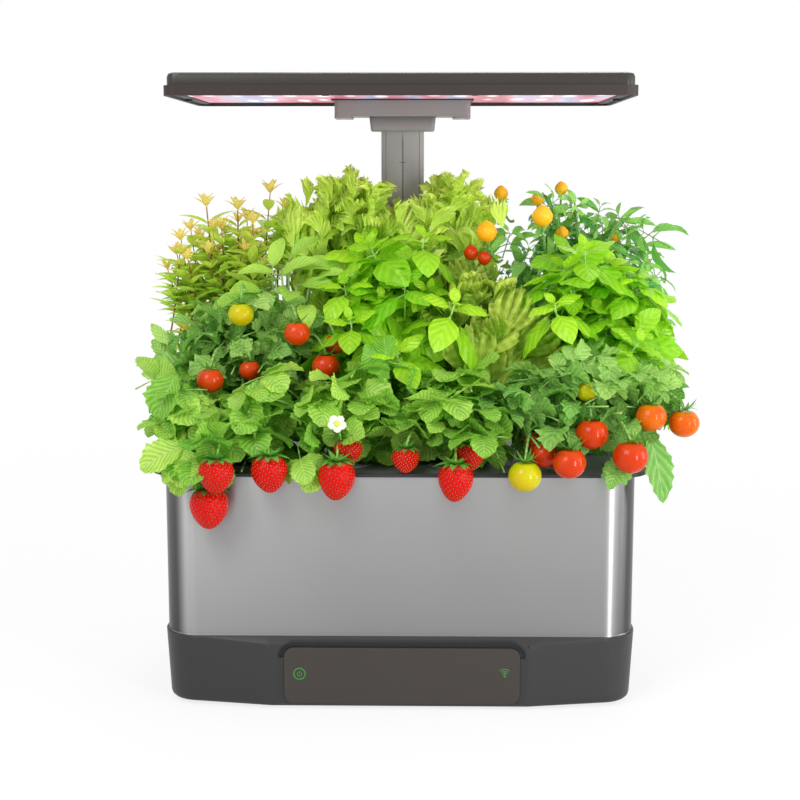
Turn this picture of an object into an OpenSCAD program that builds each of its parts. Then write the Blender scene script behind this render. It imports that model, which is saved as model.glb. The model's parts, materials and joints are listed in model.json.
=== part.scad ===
// Countertop hydroponic garden.
// A steel-clad water tank stands in a grey base with a touch fascia. A deck with twelve planted pods closes
// the tank, and a telescopic mast in a notch at the tank's rear carries an LED grow lamp over the plants.
// Origin: on the table under the tank's centre. +Z is up, the front looks towards -Y.

/* [Tank] */
// Width over the steel band
tank_w = 421.6; // [405:0.2:450]
// Depth over the steel band
tank_d = 220; // [214:1:236]
// Outside radius of the band's upright corners
tank_r = 30; // [22:1:38]
// Height of steel that shows between base and rim
steel_h = 145; // [135:1:180]
// Thickness of the steel sheet
steel_t = 0.8; // [0.5:0.1:1.2]
// Gap between the steel band and the plastic tank
band_gap = 0.3; // [0.2:0.05:0.5]
// Wall of the plastic tank
tank_wall = 2.4; // [2:0.1:3]
// Floor of the plastic tank
tank_floor = 2.6; // [2:0.1:4]
// Clear space between the mast and the notch at the tank's rear
notch_gap = 2.2; // [1:0.1:4]

/* [Rim and deck] */
// Height of the dark rim above the steel
rim_t = 3.2; // [3:0.1:5]
// Reach of the rim's grips past the steel at each side
rim_wing = 11; // [6:0.5:16]
// Reach of the rim past the steel at the front and rear
rim_lip = 2; // [1:0.1:4]
// Thickness of the deck plate
deck_t = 2; // [1.6:0.1:2.4]
// Clear gap around the deck plate in the rim
deck_gap = 0.4; // [0.3:0.1:0.8]
// Depth of the skirt under the deck
skirt_h = 8; // [5:1:14]
// Width of the flap over the filling port
lid_w = 38; // [30:1:44]
// Length of the flap, from its free edge to the hinge
lid_l = 31; // [26:1:32]
// Thickness of the flap
lid_t = 2; // [1.6:0.1:3]
// Diameter of the flap's hinge pin
lid_pin_d = 2.4; // [2:0.1:3]

/* [Pods] */
// From the side of the steel band to the outer pod columns
pod_side = 66.8; // [64:0.2:76]
// Distance between pod rows
pod_pitch_y = 55; // [50:1:57]
// Place of the front row of pods
pod_y0 = -65; // [-68:1:-60]
// Radius of a basket under its flange
basket_r = 18.6; // [16:0.1:20]
// Depth of a basket
basket_h = 54; // [40:1:60]
// Wall of a basket
basket_wall = 1.2; // [1:0.1:1.6]
// Radius of a growing sponge
sponge_r = 11; // [9:0.5:12]
// Hole in a pod collar for the stem
stem_hole_r = 7.5; // [6:0.5:10]

/* [Base] */
// Height of the rubber feet
foot_h = 3; // [2:0.5:6]
// Height of the base without its feet
base_h = 63; // [60:1:75]
// Reach of the base past the steel, all round
base_lip = 2.1; // [1.6:0.1:4]
// How far the base's sides run in towards the bottom
base_draft = 3.4; // [1:0.1:6]
// Rounding of the base's bottom edge
base_round = 5; // [2:0.5:8]
// Wall of the base
base_wall = 2.5; // [2:0.1:3.2]
// How deep the tank sits in the base
seat_d = 8; // [5:0.5:12]
// Reach of the bowed front past the steel
bow_out = 8; // [6:0.5:12]
// Width of the touch fascia
fascia_w = 211; // [190:1:230]
// Height of the touch fascia
fascia_h = 52; // [46:1:53]
// Thickness of the touch fascia
fascia_t = 3; // [2.4:0.1:3.4]
// Place of the touch fascia across the base
fascia_x = 2.6; // [-4:0.2:4]
// Corner radius of the touch fascia
fascia_r = 9; // [5:0.5:14]
// Width of the shaded groove over the fascia
brow = 4.2; // [2:0.1:5]
// Radius of the power key
key_r = 4.2; // [3.5:0.1:6]
// Travel of the power key
key_travel = 0.8; // [0.4:0.1:1.2]

/* [Mast] */
// Width of the inner stage
inner_w = 41.8; // [38:0.2:46]
// Depth of the inner stage
inner_d = 15; // [14:0.2:18]
// Wall of the inner stage
inner_wall = 2; // [1.6:0.1:2.6]
// Wall of the middle stage
middle_wall = 2.2; // [1.8:0.1:3]
// Wall of the outer stage
outer_wall = 2.5; // [2:0.1:3]
// Sliding gap between two stages
stage_gap = 0.3; // [0.2:0.05:0.5]
// Length of the inner and of the middle stage
stage_l = 236; // [220:1:250]
// Height of the outer stage's top above the table
outer_top = 290; // [270:1:300]
// Height of the middle stage's top above the table, as set
middle_top = 440; // [420:1:446]

/* [Lamp] */
// Width over the lamp's brim
lamp_w = 422; // [390:1:440]
// Depth over the lamp's brim
lamp_d = 225; // [215:1:245]
// Corner radius of the brim
lamp_r = 12; // [8:1:20]
// Height of the brim's lower edge above the table, as set
lamp_z = 543.6; // [540:0.2:560]
// Height of the brim
brim_h = 9.2; // [8:0.2:14]
// Height of the cover above the brim
cover_h = 11.2; // [10:0.2:18]
// How far the cover stands back from the brim
cover_in = 3; // [2:0.5:6]
// How far the lamp reaches forward of the mast's centre
lamp_reach = 152.2; // [140:0.2:165]
// Depth of the lens in the brim
lens_in = 3; // [2:0.2:4]
// Thickness of the lens
lens_t = 2; // [1.5:0.1:2.5]
// Width of the bracket under the lamp
bracket_w = 132; // [120:1:150]
// Depth of the bracket, front to rear
bracket_d = 44; // [38:1:60]
// Drop of the bracket below the brim
bracket_h = 13.6; // [12:0.2:18]
// Height of the collar under the bracket
collar_h = 14; // [10:0.5:20]

/* [Pump and float] */
// Width of the pump
pump_w = 44; // [40:1:50]
// Radius of the pump's impeller
impeller_r = 11; // [9:0.5:12]
// Outside radius of the riser tube
riser_r = 5; // [4.5:0.1:6]
// Radius of the water level float
float_r = 7.6; // [6:0.1:9]
// Rise of the float from empty to full
float_rise = 30; // [20:1:35]

/* [Hidden] */
$fn = 48;

// Fits
seat = 0.1;          // gap around a piece that is fixed in its seat
run = 0.3;           // gap around a piece that moves
over = 1;            // how far a cutter runs past the faces that it opens

// Heights of the stack
base_top = foot_h + base_h;
tray_z = base_top - seat_d;
tray_t = 3;
steel_top = base_top + steel_h;
rim_top = steel_top + rim_t;
ledge_z = rim_top - deck_t;
tank_in = steel_t + band_gap + tank_wall;
recess_in = 0.8;
pod_pitch_x = (tank_w - 2 * pod_side) / 3;

// Mast stages, from the inner one outwards
middle_w = inner_w + 2 * (stage_gap + middle_wall);
middle_d = inner_d + 2 * (stage_gap + middle_wall);
outer_w = middle_w + 2 * (stage_gap + outer_wall);
outer_d = middle_d + 2 * (stage_gap + outer_wall);
mast_y = tank_d / 2 - steel_t - band_gap - tank_wall - outer_d / 2;
socket_z = foot_h + 16;
socket_floor = 4;
foot_plug = 8;
bush_h = 8;
bush_wall = 2.8;
mast_pilot_x = 15;
lead_r = 3;
lead_hole_r = 4;
supply_r = 2;
pump_lead_r = 1.8;
notch_w = outer_w + 2 * notch_gap;
notch_y = mast_y - outer_d / 2 - notch_gap;

// Screws: shank radius, head radius and head height
screw_r = 1.5;
screw_head_r = 3.2;
screw_head_h = 2;
boss_r = 4.5;

module round_rect(w, d, r) {
    square([w - 2 * r, d], center = true);
    square([w, d - 2 * r], center = true);
    for (x = [-1, 1], y = [-1, 1]) translate([x * (w / 2 - r), y * (d / 2 - r)]) circle(r);
}

// The tank's plan with the mast's notch, grown by g all round (negative is inwards)
module plan(g) {
    difference() {
        round_rect(tank_w + 2 * g, tank_d + 2 * g, tank_r + g);
        translate([-notch_w / 2 + g, notch_y + g]) square([notch_w - 2 * g, tank_d]);
    }
}

module slab(z0, z1) {
    translate([0, 0, z0]) linear_extrude(z1 - z0) children();
}

// A screw along +Z whose head starts at z = 0
module screw(length) {
    cylinder(r = screw_head_r, h = screw_head_h);
    cylinder(r = screw_r, h = length);
}

// What a screw needs: a counterbore for its head and a hole for its shank
module screw_hole(length) {
    translate([0, 0, -over]) cylinder(r = screw_head_r + seat, h = screw_head_h + over);
    translate([0, 0, -over]) cylinder(r = screw_r + seat, h = length + over + 0.5);
}

module box_tube(w, d, wall, h, r) {
    linear_extrude(h) difference() {
        round_rect(w, d, r);
        round_rect(w - 2 * wall, d - 2 * wall, max(r - wall, 0.6));
    }
}

// ---- Base ----

bow_y = -tank_d / 2 - bow_out;
bow_hw = fascia_w / 2 + brow + 2 + abs(fascia_x);
bow_top = foot_h + fascia_h + 5;
fascia_z = foot_h + 2.5;
fascia_front = bow_y - 0.4;
fascia_back = fascia_front + fascia_t;
key_x = fascia_x - fascia_w / 2 + 14;
key_z = fascia_z + fascia_h / 2 + 1.8;
ring_r = key_r + run + 1.1;
flange_r = ring_r + 0.9;
board_y = bow_y + 14;
board_t = 1.6;
board_w = 92;
board_h = 34;
board_x = key_x + 24;
board_post = [board_w / 2 - 5, board_h / 2 - 5];
inlet_x = -72;
inlet_z = foot_h + 27;
inlet_size = [12, 15, 11];
inlet_hole_r = 3.2;
inlet_pin_r = 1;
inlet_back = tank_d / 2 + base_lip - base_draft * 0.6;
base_screw_at = [for (x = [-1, 1], y = [-1, 1]) [x * (tank_w / 2 - 24), y * (tank_d / 2 - 46)]];
grommet_at = [44, tank_d / 2 - 38];
grommet_r = 5;
grommet_top = tray_z + tank_floor + 3;

// How far the base's side stands in from its top outline at height z
function base_inset(z) = base_draft * (base_top - z) / base_h
    + (z < foot_h + base_round ? base_round * (1 - sqrt(1 - pow(1 - (z - foot_h) / base_round, 2))) : 0);

// The base's outside between two heights, g inwards of its surface
module base_form(g, z0, z1) {
    slice = 0.02;
    hull() for (z = [z0, z0 + base_round * 0.15, z0 + base_round * 0.5, z0 + base_round, z1]) {
        if (z <= z1) {
            for (x = [-1, 1], y = [-1, 1])
                translate([x * (tank_w / 2 - tank_r), y * (tank_d / 2 - tank_r), min(z, z1 - slice)])
                    cylinder(r = tank_r + base_lip - base_inset(z) - g, h = slice, $fn = 72);
            if (z <= bow_top) translate([-bow_hw, bow_y + g + (z < foot_h + 1 ? 2 : 0), min(z, z1 - slice)])
                cube([2 * bow_hw, slice, z1 > bow_top && z >= z0 + base_round ? bow_top - z : slice]);
        }
    }
}

module upright(y0, y1) {
    translate([0, y1, 0]) rotate([90, 0, 0]) linear_extrude(y1 - y0) children();
}

module fascia_outline(g) {
    translate([fascia_x, fascia_z + fascia_h / 2])
        round_rect(fascia_w + 2 * g, fascia_h + 2 * g, fascia_r + g);
}

module base_housing() {
    color("#4a4a49") difference() {
        union() {
            difference() {
                base_form(0, foot_h, base_top);
                slab(tray_z, base_top + over)
                    round_rect(tank_w + 2 * run, tank_d + 2 * run, tank_r + run);
                translate([0, 0, -0.01]) base_form(base_wall, foot_h, tray_z - tray_t);
            }
            translate([-bow_hw, fascia_back, fascia_z])
                cube([2 * bow_hw, 3.2, tray_z - tray_t - fascia_z + 0.5]);
            translate([-outer_w / 2 - 3, mast_y - outer_d / 2 - 3, socket_z])
                cube([outer_w + 6, outer_d + 6, tray_z - socket_z]);
            for (p = base_screw_at) translate([p[0], p[1], foot_h + base_wall])
                cylinder(r = boss_r, h = tray_z - tray_t - foot_h);
            for (x = [-1, 1], z = [-1, 1])
                translate([board_x + x * board_post[0], board_y, key_z + z * board_post[1]])
                    rotate([90, 0, 0]) cylinder(r = 2.5, h = board_y - fascia_back - 1);
        }
        upright(bow_y - over, fascia_back) fascia_outline(seat);
        upright(bow_y - over, fascia_back - 0.6) difference() {
            fascia_outline(brow);
            translate([-fascia_w, 0]) square([2 * fascia_w, fascia_z + fascia_h - 2.2 * brow]);
        }
        translate([key_x, fascia_back - over, key_z]) rotate([-90, 0, 0]) cylinder(r = flange_r, h = 9);
        translate([-outer_w / 2 - seat, mast_y - outer_d / 2 - seat, socket_z + socket_floor])
            cube([outer_w + 2 * seat, outer_d + 2 * seat, tray_z]);
        for (x = [-1, 1]) translate([x * mast_pilot_x, mast_y, socket_z]) screw_hole(12);
        translate([0, mast_y, socket_z - over]) cylinder(r = lead_hole_r, h = socket_floor + 2 * over);
        for (p = base_screw_at) translate([p[0], p[1], foot_h]) cylinder(r = screw_r + seat, h = 14);
        translate([inlet_x - inlet_size[0] / 2 - seat, inlet_back - 6, inlet_z - inlet_size[2] / 2 - seat])
            cube([inlet_size[0] + 2 * seat, 12, inlet_size[2] + 2 * seat]);
        translate([grommet_at[0], grommet_at[1], tray_z - tray_t - over])
            cylinder(r = grommet_r + seat, h = tray_t + 2 * over);
    }
}

module base_cover() {
    color("#3c3c3b") difference() {
        base_form(base_wall + run, foot_h, foot_h + base_wall);
        for (p = base_screw_at) translate([p[0], p[1], foot_h]) screw_hole(8);
    }
}

module base_screws() {
    color("silver") for (p = base_screw_at) translate([p[0], p[1], foot_h]) screw(13);
}

foot_at = [for (x = [-1, 1], y = [-1, 1]) [x * (tank_w / 2 - 50), y * (tank_d / 2 - 30)]];

module rubber_feet() {
    color("#202020") {
        for (p = foot_at) translate([p[0], p[1], 0]) cylinder(r = 9, h = foot_h);
        cylinder(r = 12, h = foot_h);
    }
}

module touch_fascia() {
    color("#524d49") difference() {
        upright(fascia_front, fascia_back) fascia_outline(-seat);
        translate([key_x, fascia_front - over, key_z]) rotate([-90, 0, 0])
            cylinder(r = ring_r + seat, h = fascia_t + 2 * over);
    }
}

module power_ring() {
    color("#5fa85a") translate([key_x, fascia_front - 0.1, key_z]) rotate([-90, 0, 0]) difference() {
        cylinder(r = ring_r, h = fascia_t + 0.1);
        translate([0, 0, -over]) cylinder(r = key_r + run, h = fascia_t + 2 * over);
    }
}

switch_l = 5;
key_stem_r = 2.2;
key_stem_end = board_y - board_t - switch_l + 1 - key_travel - seat;

module power_key() {
    color("#4c4743") translate([key_x, 0, key_z]) rotate([-90, 0, 0]) {
        translate([0, 0, fascia_front - 0.2]) cylinder(r = key_r, h = fascia_t + 0.4);
        translate([0, 0, fascia_back + 0.1]) cylinder(r = flange_r - run, h = 1);
        translate([0, 0, fascia_back + 0.1]) cylinder(r = key_stem_r, h = key_stem_end - fascia_back - 0.1);
    }
}

module control_board() {
    color("darkgreen") {
        difference() {
            translate([board_x - board_w / 2, board_y, key_z - board_h / 2])
                cube([board_w, board_t, board_h]);
            for (x = [-1, 1], z = [-1, 1])
                translate([board_x + x * board_post[0], board_y - over, key_z + z * board_post[1]])
                    rotate([-90, 0, 0]) cylinder(r = 1.2, h = board_t + 2 * over);
        }
        translate([key_x - 3, board_y - switch_l + 1 - board_t, key_z - 3])
            cube([6, switch_l - 1 + board_t, 6]);
        translate([board_x + 8, board_y + board_t, key_z - 6]) cube([14, 1.4, 12]);
        translate([board_x + 28, board_y + board_t, key_z - 8]) cube([10, 5, 6]);
        translate([board_x - 20, board_y + board_t, key_z + 2]) cube([9, 5, 6]);
    }
}

module power_inlet() {
    color("#191919") difference() {
        translate([inlet_x - inlet_size[0] / 2, inlet_back - inlet_size[1], inlet_z - inlet_size[2] / 2])
            cube(inlet_size);
        translate([inlet_x, inlet_back + over, inlet_z]) rotate([90, 0, 0]) difference() {
            cylinder(r = inlet_hole_r, h = 10 + over);
            cylinder(r = inlet_pin_r, h = 10 + over);
        }
        translate([inlet_x, inlet_back + over, inlet_z]) rotate([90, 0, 0])
            cylinder(r = 2 * inlet_pin_r, h = over + 1);
    }
}

// From the last point of a lead to the face that it ends on
function lead_end(r) = r * cos(22.5) + 0.05;

// A lead as round rods through a list of points
module lead(points, r) {
    for (i = [0 : len(points) - 2]) hull() for (p = [points[i], points[i + 1]]) translate(p)
        sphere(r, $fn = 8);
}

module board_lead() {
    color("#222222") {
        supply_end = inlet_back - inlet_size[1] - lead_end(supply_r);
        lead([[board_x - 15, board_y + board_t + 5 + lead_end(supply_r), key_z + 5],
              [board_x - 15, 0, key_z + 5],
              [inlet_x, supply_end - 12, inlet_z],
              [inlet_x, supply_end, inlet_z]], supply_r);
        lead([[board_x + 33, board_y + board_t + 5 + lead_end(lead_r - 0.5), key_z - 5],
              [board_x + 33, 20, key_z - 14],
              [0, mast_y - 24, foot_h + 7],
              [0, mast_y, foot_h + 7],
              [0, mast_y, socket_z - lead_r - 0.6]], lead_r - 0.5);
    }
}

// ---- Tank ----

module water_tank() {
    color("#2e2e30") difference() {
        slab(tray_z, steel_top) plan(-steel_t - band_gap);
        slab(tray_z + tank_floor, steel_top + over) plan(-tank_in);
        translate([grommet_at[0], grommet_at[1], tray_z - over])
            cylinder(r = grommet_r + seat, h = tank_floor + 2 * over);
        translate([drain_x, drain_y, tray_z - over]) cylinder(r = drain_r + seat, h = tank_floor + 2 * over);
    }
}

drain_x = -tank_w / 2 + 40;
drain_y = tank_d / 2 - 60;
drain_r = 6;

module drain_plug() {
    color("#262626") translate([drain_x, drain_y, tray_z + 0.1]) {
        cylinder(r = drain_r, h = tank_floor - 0.1);
        translate([0, 0, tank_floor]) cylinder(r = drain_r + 2.5, h = 2);
        translate([-1.5, -6, tank_floor]) cube([3, 12, 7]);
    }
}

module steel_band() {
    color("#a9a9a8") slab(tray_z, steel_top) difference() {
        round_rect(tank_w, tank_d, tank_r);
        round_rect(tank_w - 2 * steel_t, tank_d - 2 * steel_t, tank_r - steel_t);
        translate([-notch_w / 2 - 2, 0]) square([notch_w + 4, tank_d]);
    }
}

module rim_trim() {
    color("#343436") difference() {
        slab(steel_top, rim_top) difference() {
            round_rect(tank_w + 2 * rim_wing, tank_d + 2 * rim_lip, tank_r);
            translate([-notch_w / 2, notch_y]) square([notch_w, tank_d]);
        }
        slab(steel_top - over, rim_top + over) plan(-tank_in);
        slab(ledge_z, rim_top + over) plan(-recess_in);
    }
}

// ---- Pump ----

pump_x = pod_pitch_x;
pump_y = pod_y0 + pod_pitch_y * 1.55;
pump_d = 30;
pump_h = 40;
pump_z = tray_z + tank_floor;
chamber_r = impeller_r + 1.5;
chamber_z = pump_z + 16;
chamber_l = 12;
shaft_r = 1.2;
pump_front = pump_y - pump_d / 2;
riser_wall = 1.3;
nozzle_h = 10;
filter_t = 6;
riser_top = ledge_z - 3;

module pump_housing() {
    color("#242628") difference() {
        union() {
            translate([pump_x - pump_w / 2, pump_front, pump_z]) cube([pump_w, pump_d, pump_h]);
            translate([pump_x, pump_y, pump_z + pump_h])
                cylinder(r = riser_r - riser_wall - seat, h = nozzle_h);
        }
        translate([pump_x, pump_front - over, chamber_z]) rotate([-90, 0, 0])
            cylinder(r = chamber_r, h = chamber_l + over);
        translate([pump_x, pump_front + chamber_l - over, chamber_z]) rotate([-90, 0, 0])
            cylinder(r = shaft_r + 0.02, h = 8 + over);
        translate([pump_x, pump_y, chamber_z + chamber_r - 4])
            cylinder(r = riser_r - riser_wall - 1.4, h = pump_h);
        translate([pump_x - 3, pump_front + chamber_l / 2, chamber_z + chamber_r - 4])
            cube([6, pump_y - pump_front - chamber_l / 2, 6]);
    }
}

module pump_cover() {
    color("#2c2e31") difference() {
        translate([pump_x - pump_w / 2, pump_front - 2.4 - filter_t, pump_z])
            cube([pump_w, filter_t + 2.4, chamber_z + chamber_r - pump_z + 3]);
        translate([pump_x - pump_w / 2 + 2, pump_front - filter_t, pump_z + 2])
            cube([pump_w - 4, filter_t + over, chamber_z + chamber_r - pump_z - 1]);
        for (i = [-3 : 3]) translate([pump_x + i * 5 - 1.2, pump_front - filter_t - 2.4 - over, pump_z + 5])
            cube([2.4, 2.4 + 2 * over, 20]);
    }
}

module pump_filter() {
    color("#3a4a66") translate([pump_x - pump_w / 2 + 2 + seat, pump_front - filter_t + seat,
        pump_z + 2 + seat])
        cube([pump_w - 4 - 2 * seat, filter_t - 1.6, chamber_z + chamber_r - pump_z - 1 - 2 * seat]);
}

module pump_shaft() {
    color("#dddddd") translate([pump_x, pump_front + 0.6, chamber_z]) rotate([-90, 0, 0])
        cylinder(r = shaft_r, h = chamber_l + 7);
}

module pump_impeller() {
    color("#e8e8e4") translate([pump_x, pump_front + 1.4, chamber_z]) rotate([-90, 0, 0]) difference() {
        union() {
            cylinder(r = 4, h = chamber_l - 2.2);
            translate([0, 0, chamber_l - 4.2]) cylinder(r = impeller_r, h = 1.6);
            for (a = [0 : 60 : 300]) rotate(a) translate([2, -0.7, 1])
                cube([impeller_r - 2.4, 1.4, chamber_l - 4.6]);
        }
        translate([0, 0, -over]) cylinder(r = shaft_r + 0.06, h = chamber_l + 2 * over);
    }
}

module riser_tube() {
    color("#8a8f94") translate([pump_x, pump_y, pump_z + pump_h + seat]) difference() {
        cylinder(r = riser_r, h = riser_top - pump_z - pump_h - seat);
        translate([0, 0, -over]) cylinder(r = riser_r - riser_wall, h = riser_top);
    }
}

module pump_lead() {
    color("#222222") lead([
        [pump_x - pump_w / 2 - lead_end(pump_lead_r), pump_y + 6, pump_z + 8],
        [pump_x - pump_w / 2 - 8, pump_y + 10, pump_z + 8],
        [grommet_at[0], grommet_at[1], pump_z + 12],
        [grommet_at[0], grommet_at[1], grommet_top + lead_end(pump_lead_r)]], pump_lead_r);
}

module pump_grommet() {
    color("#1c1c1c") translate([grommet_at[0], grommet_at[1], tray_z - tray_t]) {
        cylinder(r = grommet_r, h = tray_t + tank_floor + 0.1);
        translate([0, 0, tray_t + tank_floor + 0.1]) cylinder(r = grommet_r + 2.5, h = 2);
        translate([0, 0, tray_t + tank_floor]) cylinder(r = 2.8, h = 3);
    }
}

// ---- Mast ----

module at_mast(z) {
    translate([0, mast_y, z]) children();
}

module mast_outer() {
    z = socket_z + socket_floor;
    color("#6f6f6f") difference() {
        union() {
            at_mast(z) box_tube(outer_w, outer_d, outer_wall, outer_top - z, 4);
            at_mast(z) linear_extrude(foot_plug) round_rect(outer_w, outer_d, 4);
        }
        for (x = [-1, 1]) translate([x * mast_pilot_x, mast_y, z - over])
            cylinder(r = screw_r + seat, h = foot_plug);
        at_mast(z - over) cylinder(r = lead_hole_r, h = foot_plug + 2 * over);
    }
}

module outer_bush() {
    color("#58585a") at_mast(outer_top) difference() {
        linear_extrude(bush_h / 2) round_rect(outer_w + 2 * bush_wall, outer_d + 2 * bush_wall, 5);
        translate([0, 0, -over]) linear_extrude(bush_h)
            round_rect(middle_w + 2 * stage_gap, middle_d + 2 * stage_gap, 2);
    }
    color("#58585a") at_mast(outer_top - bush_h) difference() {
        linear_extrude(bush_h) round_rect(outer_w + 2 * bush_wall, outer_d + 2 * bush_wall, 5);
        translate([0, 0, -over]) linear_extrude(bush_h + 2 * over)
            round_rect(outer_w + 2 * seat, outer_d + 2 * seat, 4);
    }
}

module mast_screws() {
    color("silver") for (x = [-1, 1]) translate([x * mast_pilot_x, mast_y, socket_z]) screw(10);
}

module mast_middle() {
    color("#7d7d7c") at_mast(middle_top - stage_l) box_tube(middle_w, middle_d, middle_wall, stage_l, 3);
}

module middle_bush() {
    color("#58585a") at_mast(middle_top) difference() {
        linear_extrude(bush_h / 2) round_rect(middle_w + 2 * bush_wall, middle_d + 2 * bush_wall, 4);
        translate([0, 0, -over]) linear_extrude(bush_h)
            round_rect(inner_w + 2 * stage_gap, inner_d + 2 * stage_gap, 1.2);
    }
    color("#58585a") at_mast(middle_top - bush_h) difference() {
        linear_extrude(bush_h) round_rect(middle_w + 2 * bush_wall, middle_d + 2 * bush_wall, 4);
        translate([0, 0, -over]) linear_extrude(bush_h + 2 * over)
            round_rect(middle_w + 2 * seat, middle_d + 2 * seat, 3);
    }
}

head_z = lamp_z - bracket_h - collar_h;
bracket_z = lamp_z - bracket_h;
island_z = lamp_z + lens_in - 1.2;
inner_top = bracket_z + 7;
inner_z = inner_top - stage_l;
inner_chamfer = 3;
groove_w = 1.2;

module inner_profile() {
    c = inner_chamfer;
    w = inner_w / 2;
    d = inner_d / 2;
    difference() {
        polygon([[-w, -d + c / 2], [-w + c, -d], [w - c, -d], [w, -d + c / 2],
                 [w, d - c / 2], [w - c, d], [-w + c, d], [-w, d - c / 2]]);
        round_rect(inner_w - 2 * inner_wall, inner_d - 2 * inner_wall, 2);
    }
}

module mast_inner() {
    color("#8a8a89") difference() {
        at_mast(inner_z) linear_extrude(stage_l) inner_profile();
        translate([-groove_w / 2, mast_y - inner_d / 2 - over, inner_z + 30])
            cube([groove_w, over + 0.5, stage_l - 58]);
        translate([-4, mast_y - inner_d / 2 - over, head_z - 38.5]) cube([8, over + 0.5, 1]);
    }
}

module lamp_lead() {
    color("#1c1c1c") at_mast(socket_z - 1) cylinder(r = lead_r, h = island_z - socket_z + 3);
}

// ---- Bracket and lamp ----

lamp_y = mast_y - lamp_reach + lamp_d / 2;
bracket_y = mast_y;
bracket_front = bracket_y - bracket_d / 2;
tab_w = 17;
tab_h = 1.8;
collar_w = inner_w + 23;
collar_d = inner_d + 15;
collar_taper = 1.3;
lens_edge = 10.6;
skirt_wall = 3.5;
ledge_w = 13;
board_z = lamp_z + brim_h - 0.8;
pcb_t = 1.6;
led_h = 0.8;
cover_top = lamp_z + brim_h + cover_h;
cover_wall = 2.2;
lamp_screw_in = 7.2;
bracket_screw_at = [for (x = [-1, 1], y = [-1, 1])
    [x * (bracket_w / 2 - tab_w / 2), bracket_y + y * (bracket_d / 2 - 9)]];
lamp_screw_at = concat(
    [for (x = [-1, -0.34, 0.34, 1], y = [-1, 1])
        [x * (lamp_w / 2 - lamp_r - 4), lamp_y + y * (lamp_d / 2 - lamp_screw_in)]],
    [for (x = [-1, 1]) [x * (lamp_w / 2 - lamp_screw_in), lamp_y]]);

module mast_head() {
    color("#8d8c86") difference() {
        hull() {
            at_mast(bracket_z - 0.02) linear_extrude(0.02) round_rect(collar_w, collar_d, 4);
            at_mast(head_z + 1.2) linear_extrude(0.02)
                round_rect(collar_w - 2 * collar_taper, collar_d - 2 * collar_taper, 4);
            at_mast(head_z) linear_extrude(0.02)
                round_rect(collar_w - 2 * collar_taper - 2, collar_d - 2 * collar_taper - 2, 3);
        }
        at_mast(head_z - over) linear_extrude(collar_h + 2 * over)
            round_rect(inner_w + 2 * seat, inner_d + 2 * seat, 0.6);
    }
}

module lamp_bracket() {
    color("#8b8b89") difference() {
        union() {
            at_bracket(bracket_z, island_z) round_rect(bracket_w, bracket_d, 5);
            for (x = [-1, 1]) translate([x * (bracket_w / 2 - tab_w / 2), bracket_y, bracket_z - tab_h])
                linear_extrude(tab_h + 1) round_rect(tab_w, bracket_d, 3);
        }
        at_mast(bracket_z - over) linear_extrude(inner_top - bracket_z + over + seat)
            round_rect(inner_w + 2 * seat, inner_d + 2 * seat, 0.6);
        at_mast(bracket_z) cylinder(r = lead_r + 1, h = island_z);
        for (p = bracket_screw_at) translate([p[0], p[1], bracket_z - tab_h]) screw_hole(30);
    }
}

module at_bracket(z0, z1) {
    translate([0, bracket_y, z0]) linear_extrude(z1 - z0) children();
}

module bracket_screws() {
    color("silver") for (p = bracket_screw_at) translate([p[0], p[1], bracket_z - tab_h])
        screw(island_z - bracket_z + tab_h + 4);
}

module lamp_plan(g) {
    translate([0, lamp_y]) round_rect(lamp_w + 2 * g, lamp_d + 2 * g, max(lamp_r + g, 1));
}

// The plate in the lamp's rear half that the bracket screws to
module island(g) {
    translate([-bracket_w / 2 - 3 - g, bracket_front - 3 - g])
        square([bracket_w + 6 + 2 * g, lamp_y + lamp_d / 2 - lens_edge - bracket_front + 3 + g]);
}

module lamp_frame() {
    top = lamp_z + brim_h;
    color("#4d4b48") difference() {
        union() {
            slab(lamp_z, top) difference() {
                lamp_plan(0);
                lamp_plan(-skirt_wall);
            }
            slab(island_z, lamp_z + lens_in) difference() {
                lamp_plan(-skirt_wall + 0.5);
                lamp_plan(-ledge_w);
            }
            slab(island_z, lamp_z + lens_in) island(0);
            for (p = bracket_screw_at) translate([p[0], p[1], island_z]) cylinder(r = boss_r, h = 4.2);
        }
        for (p = lamp_screw_at) translate([p[0], p[1], island_z - over]) cylinder(r = screw_r + seat, h = 4);
        for (p = bracket_screw_at) translate([p[0], p[1], island_z - over])
            cylinder(r = screw_r + seat, h = 8);
        at_mast(island_z - over) cylinder(r = lead_r + 1, h = 4);
    }
}

module lamp_cover() {
    z = lamp_z + brim_h;
    color("#55534c") difference() {
        union() {
            difference() {
                hull() {
                    slab(z, z + cover_h - 4) lamp_plan(-cover_in);
                    slab(z + cover_h - 1.2, z + cover_h - 1.1) lamp_plan(-cover_in - 1.2);
                    slab(cover_top - 0.02, cover_top) lamp_plan(-cover_in - 4);
                }
                slab(z - over, cover_top - cover_wall) lamp_plan(-cover_in - cover_wall);
            }
            for (p = lamp_screw_at) translate([p[0], p[1], lamp_z + lens_in + 0.1])
                cylinder(r = 3.1, h = cover_top - 1 - lamp_z - lens_in);
        }
        for (p = lamp_screw_at) translate([p[0], p[1], lamp_z]) cylinder(r = screw_r + seat, h = 14);
    }
}

module led_board() {
    color("#e9e9e6") difference() {
        slab(board_z, board_z + pcb_t) lamp_plan(-lens_edge - 1);
        at_mast(board_z - over) cylinder(r = lead_r + 1, h = pcb_t + 2 * over);
    }
}

module heat_sink() {
    color("#b5b7b9") slab(board_z + pcb_t, board_z + pcb_t + 1.5) lamp_plan(-lens_edge - 12);
    color("#b5b7b9") for (i = [-5 : 5])
        translate([i * 30 - 1, lamp_y - lamp_d / 2 + 40, board_z + pcb_t + 1.5])
        cube([2, lamp_d - 80, cover_top - cover_wall - board_z - pcb_t - 2]);
}

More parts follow.
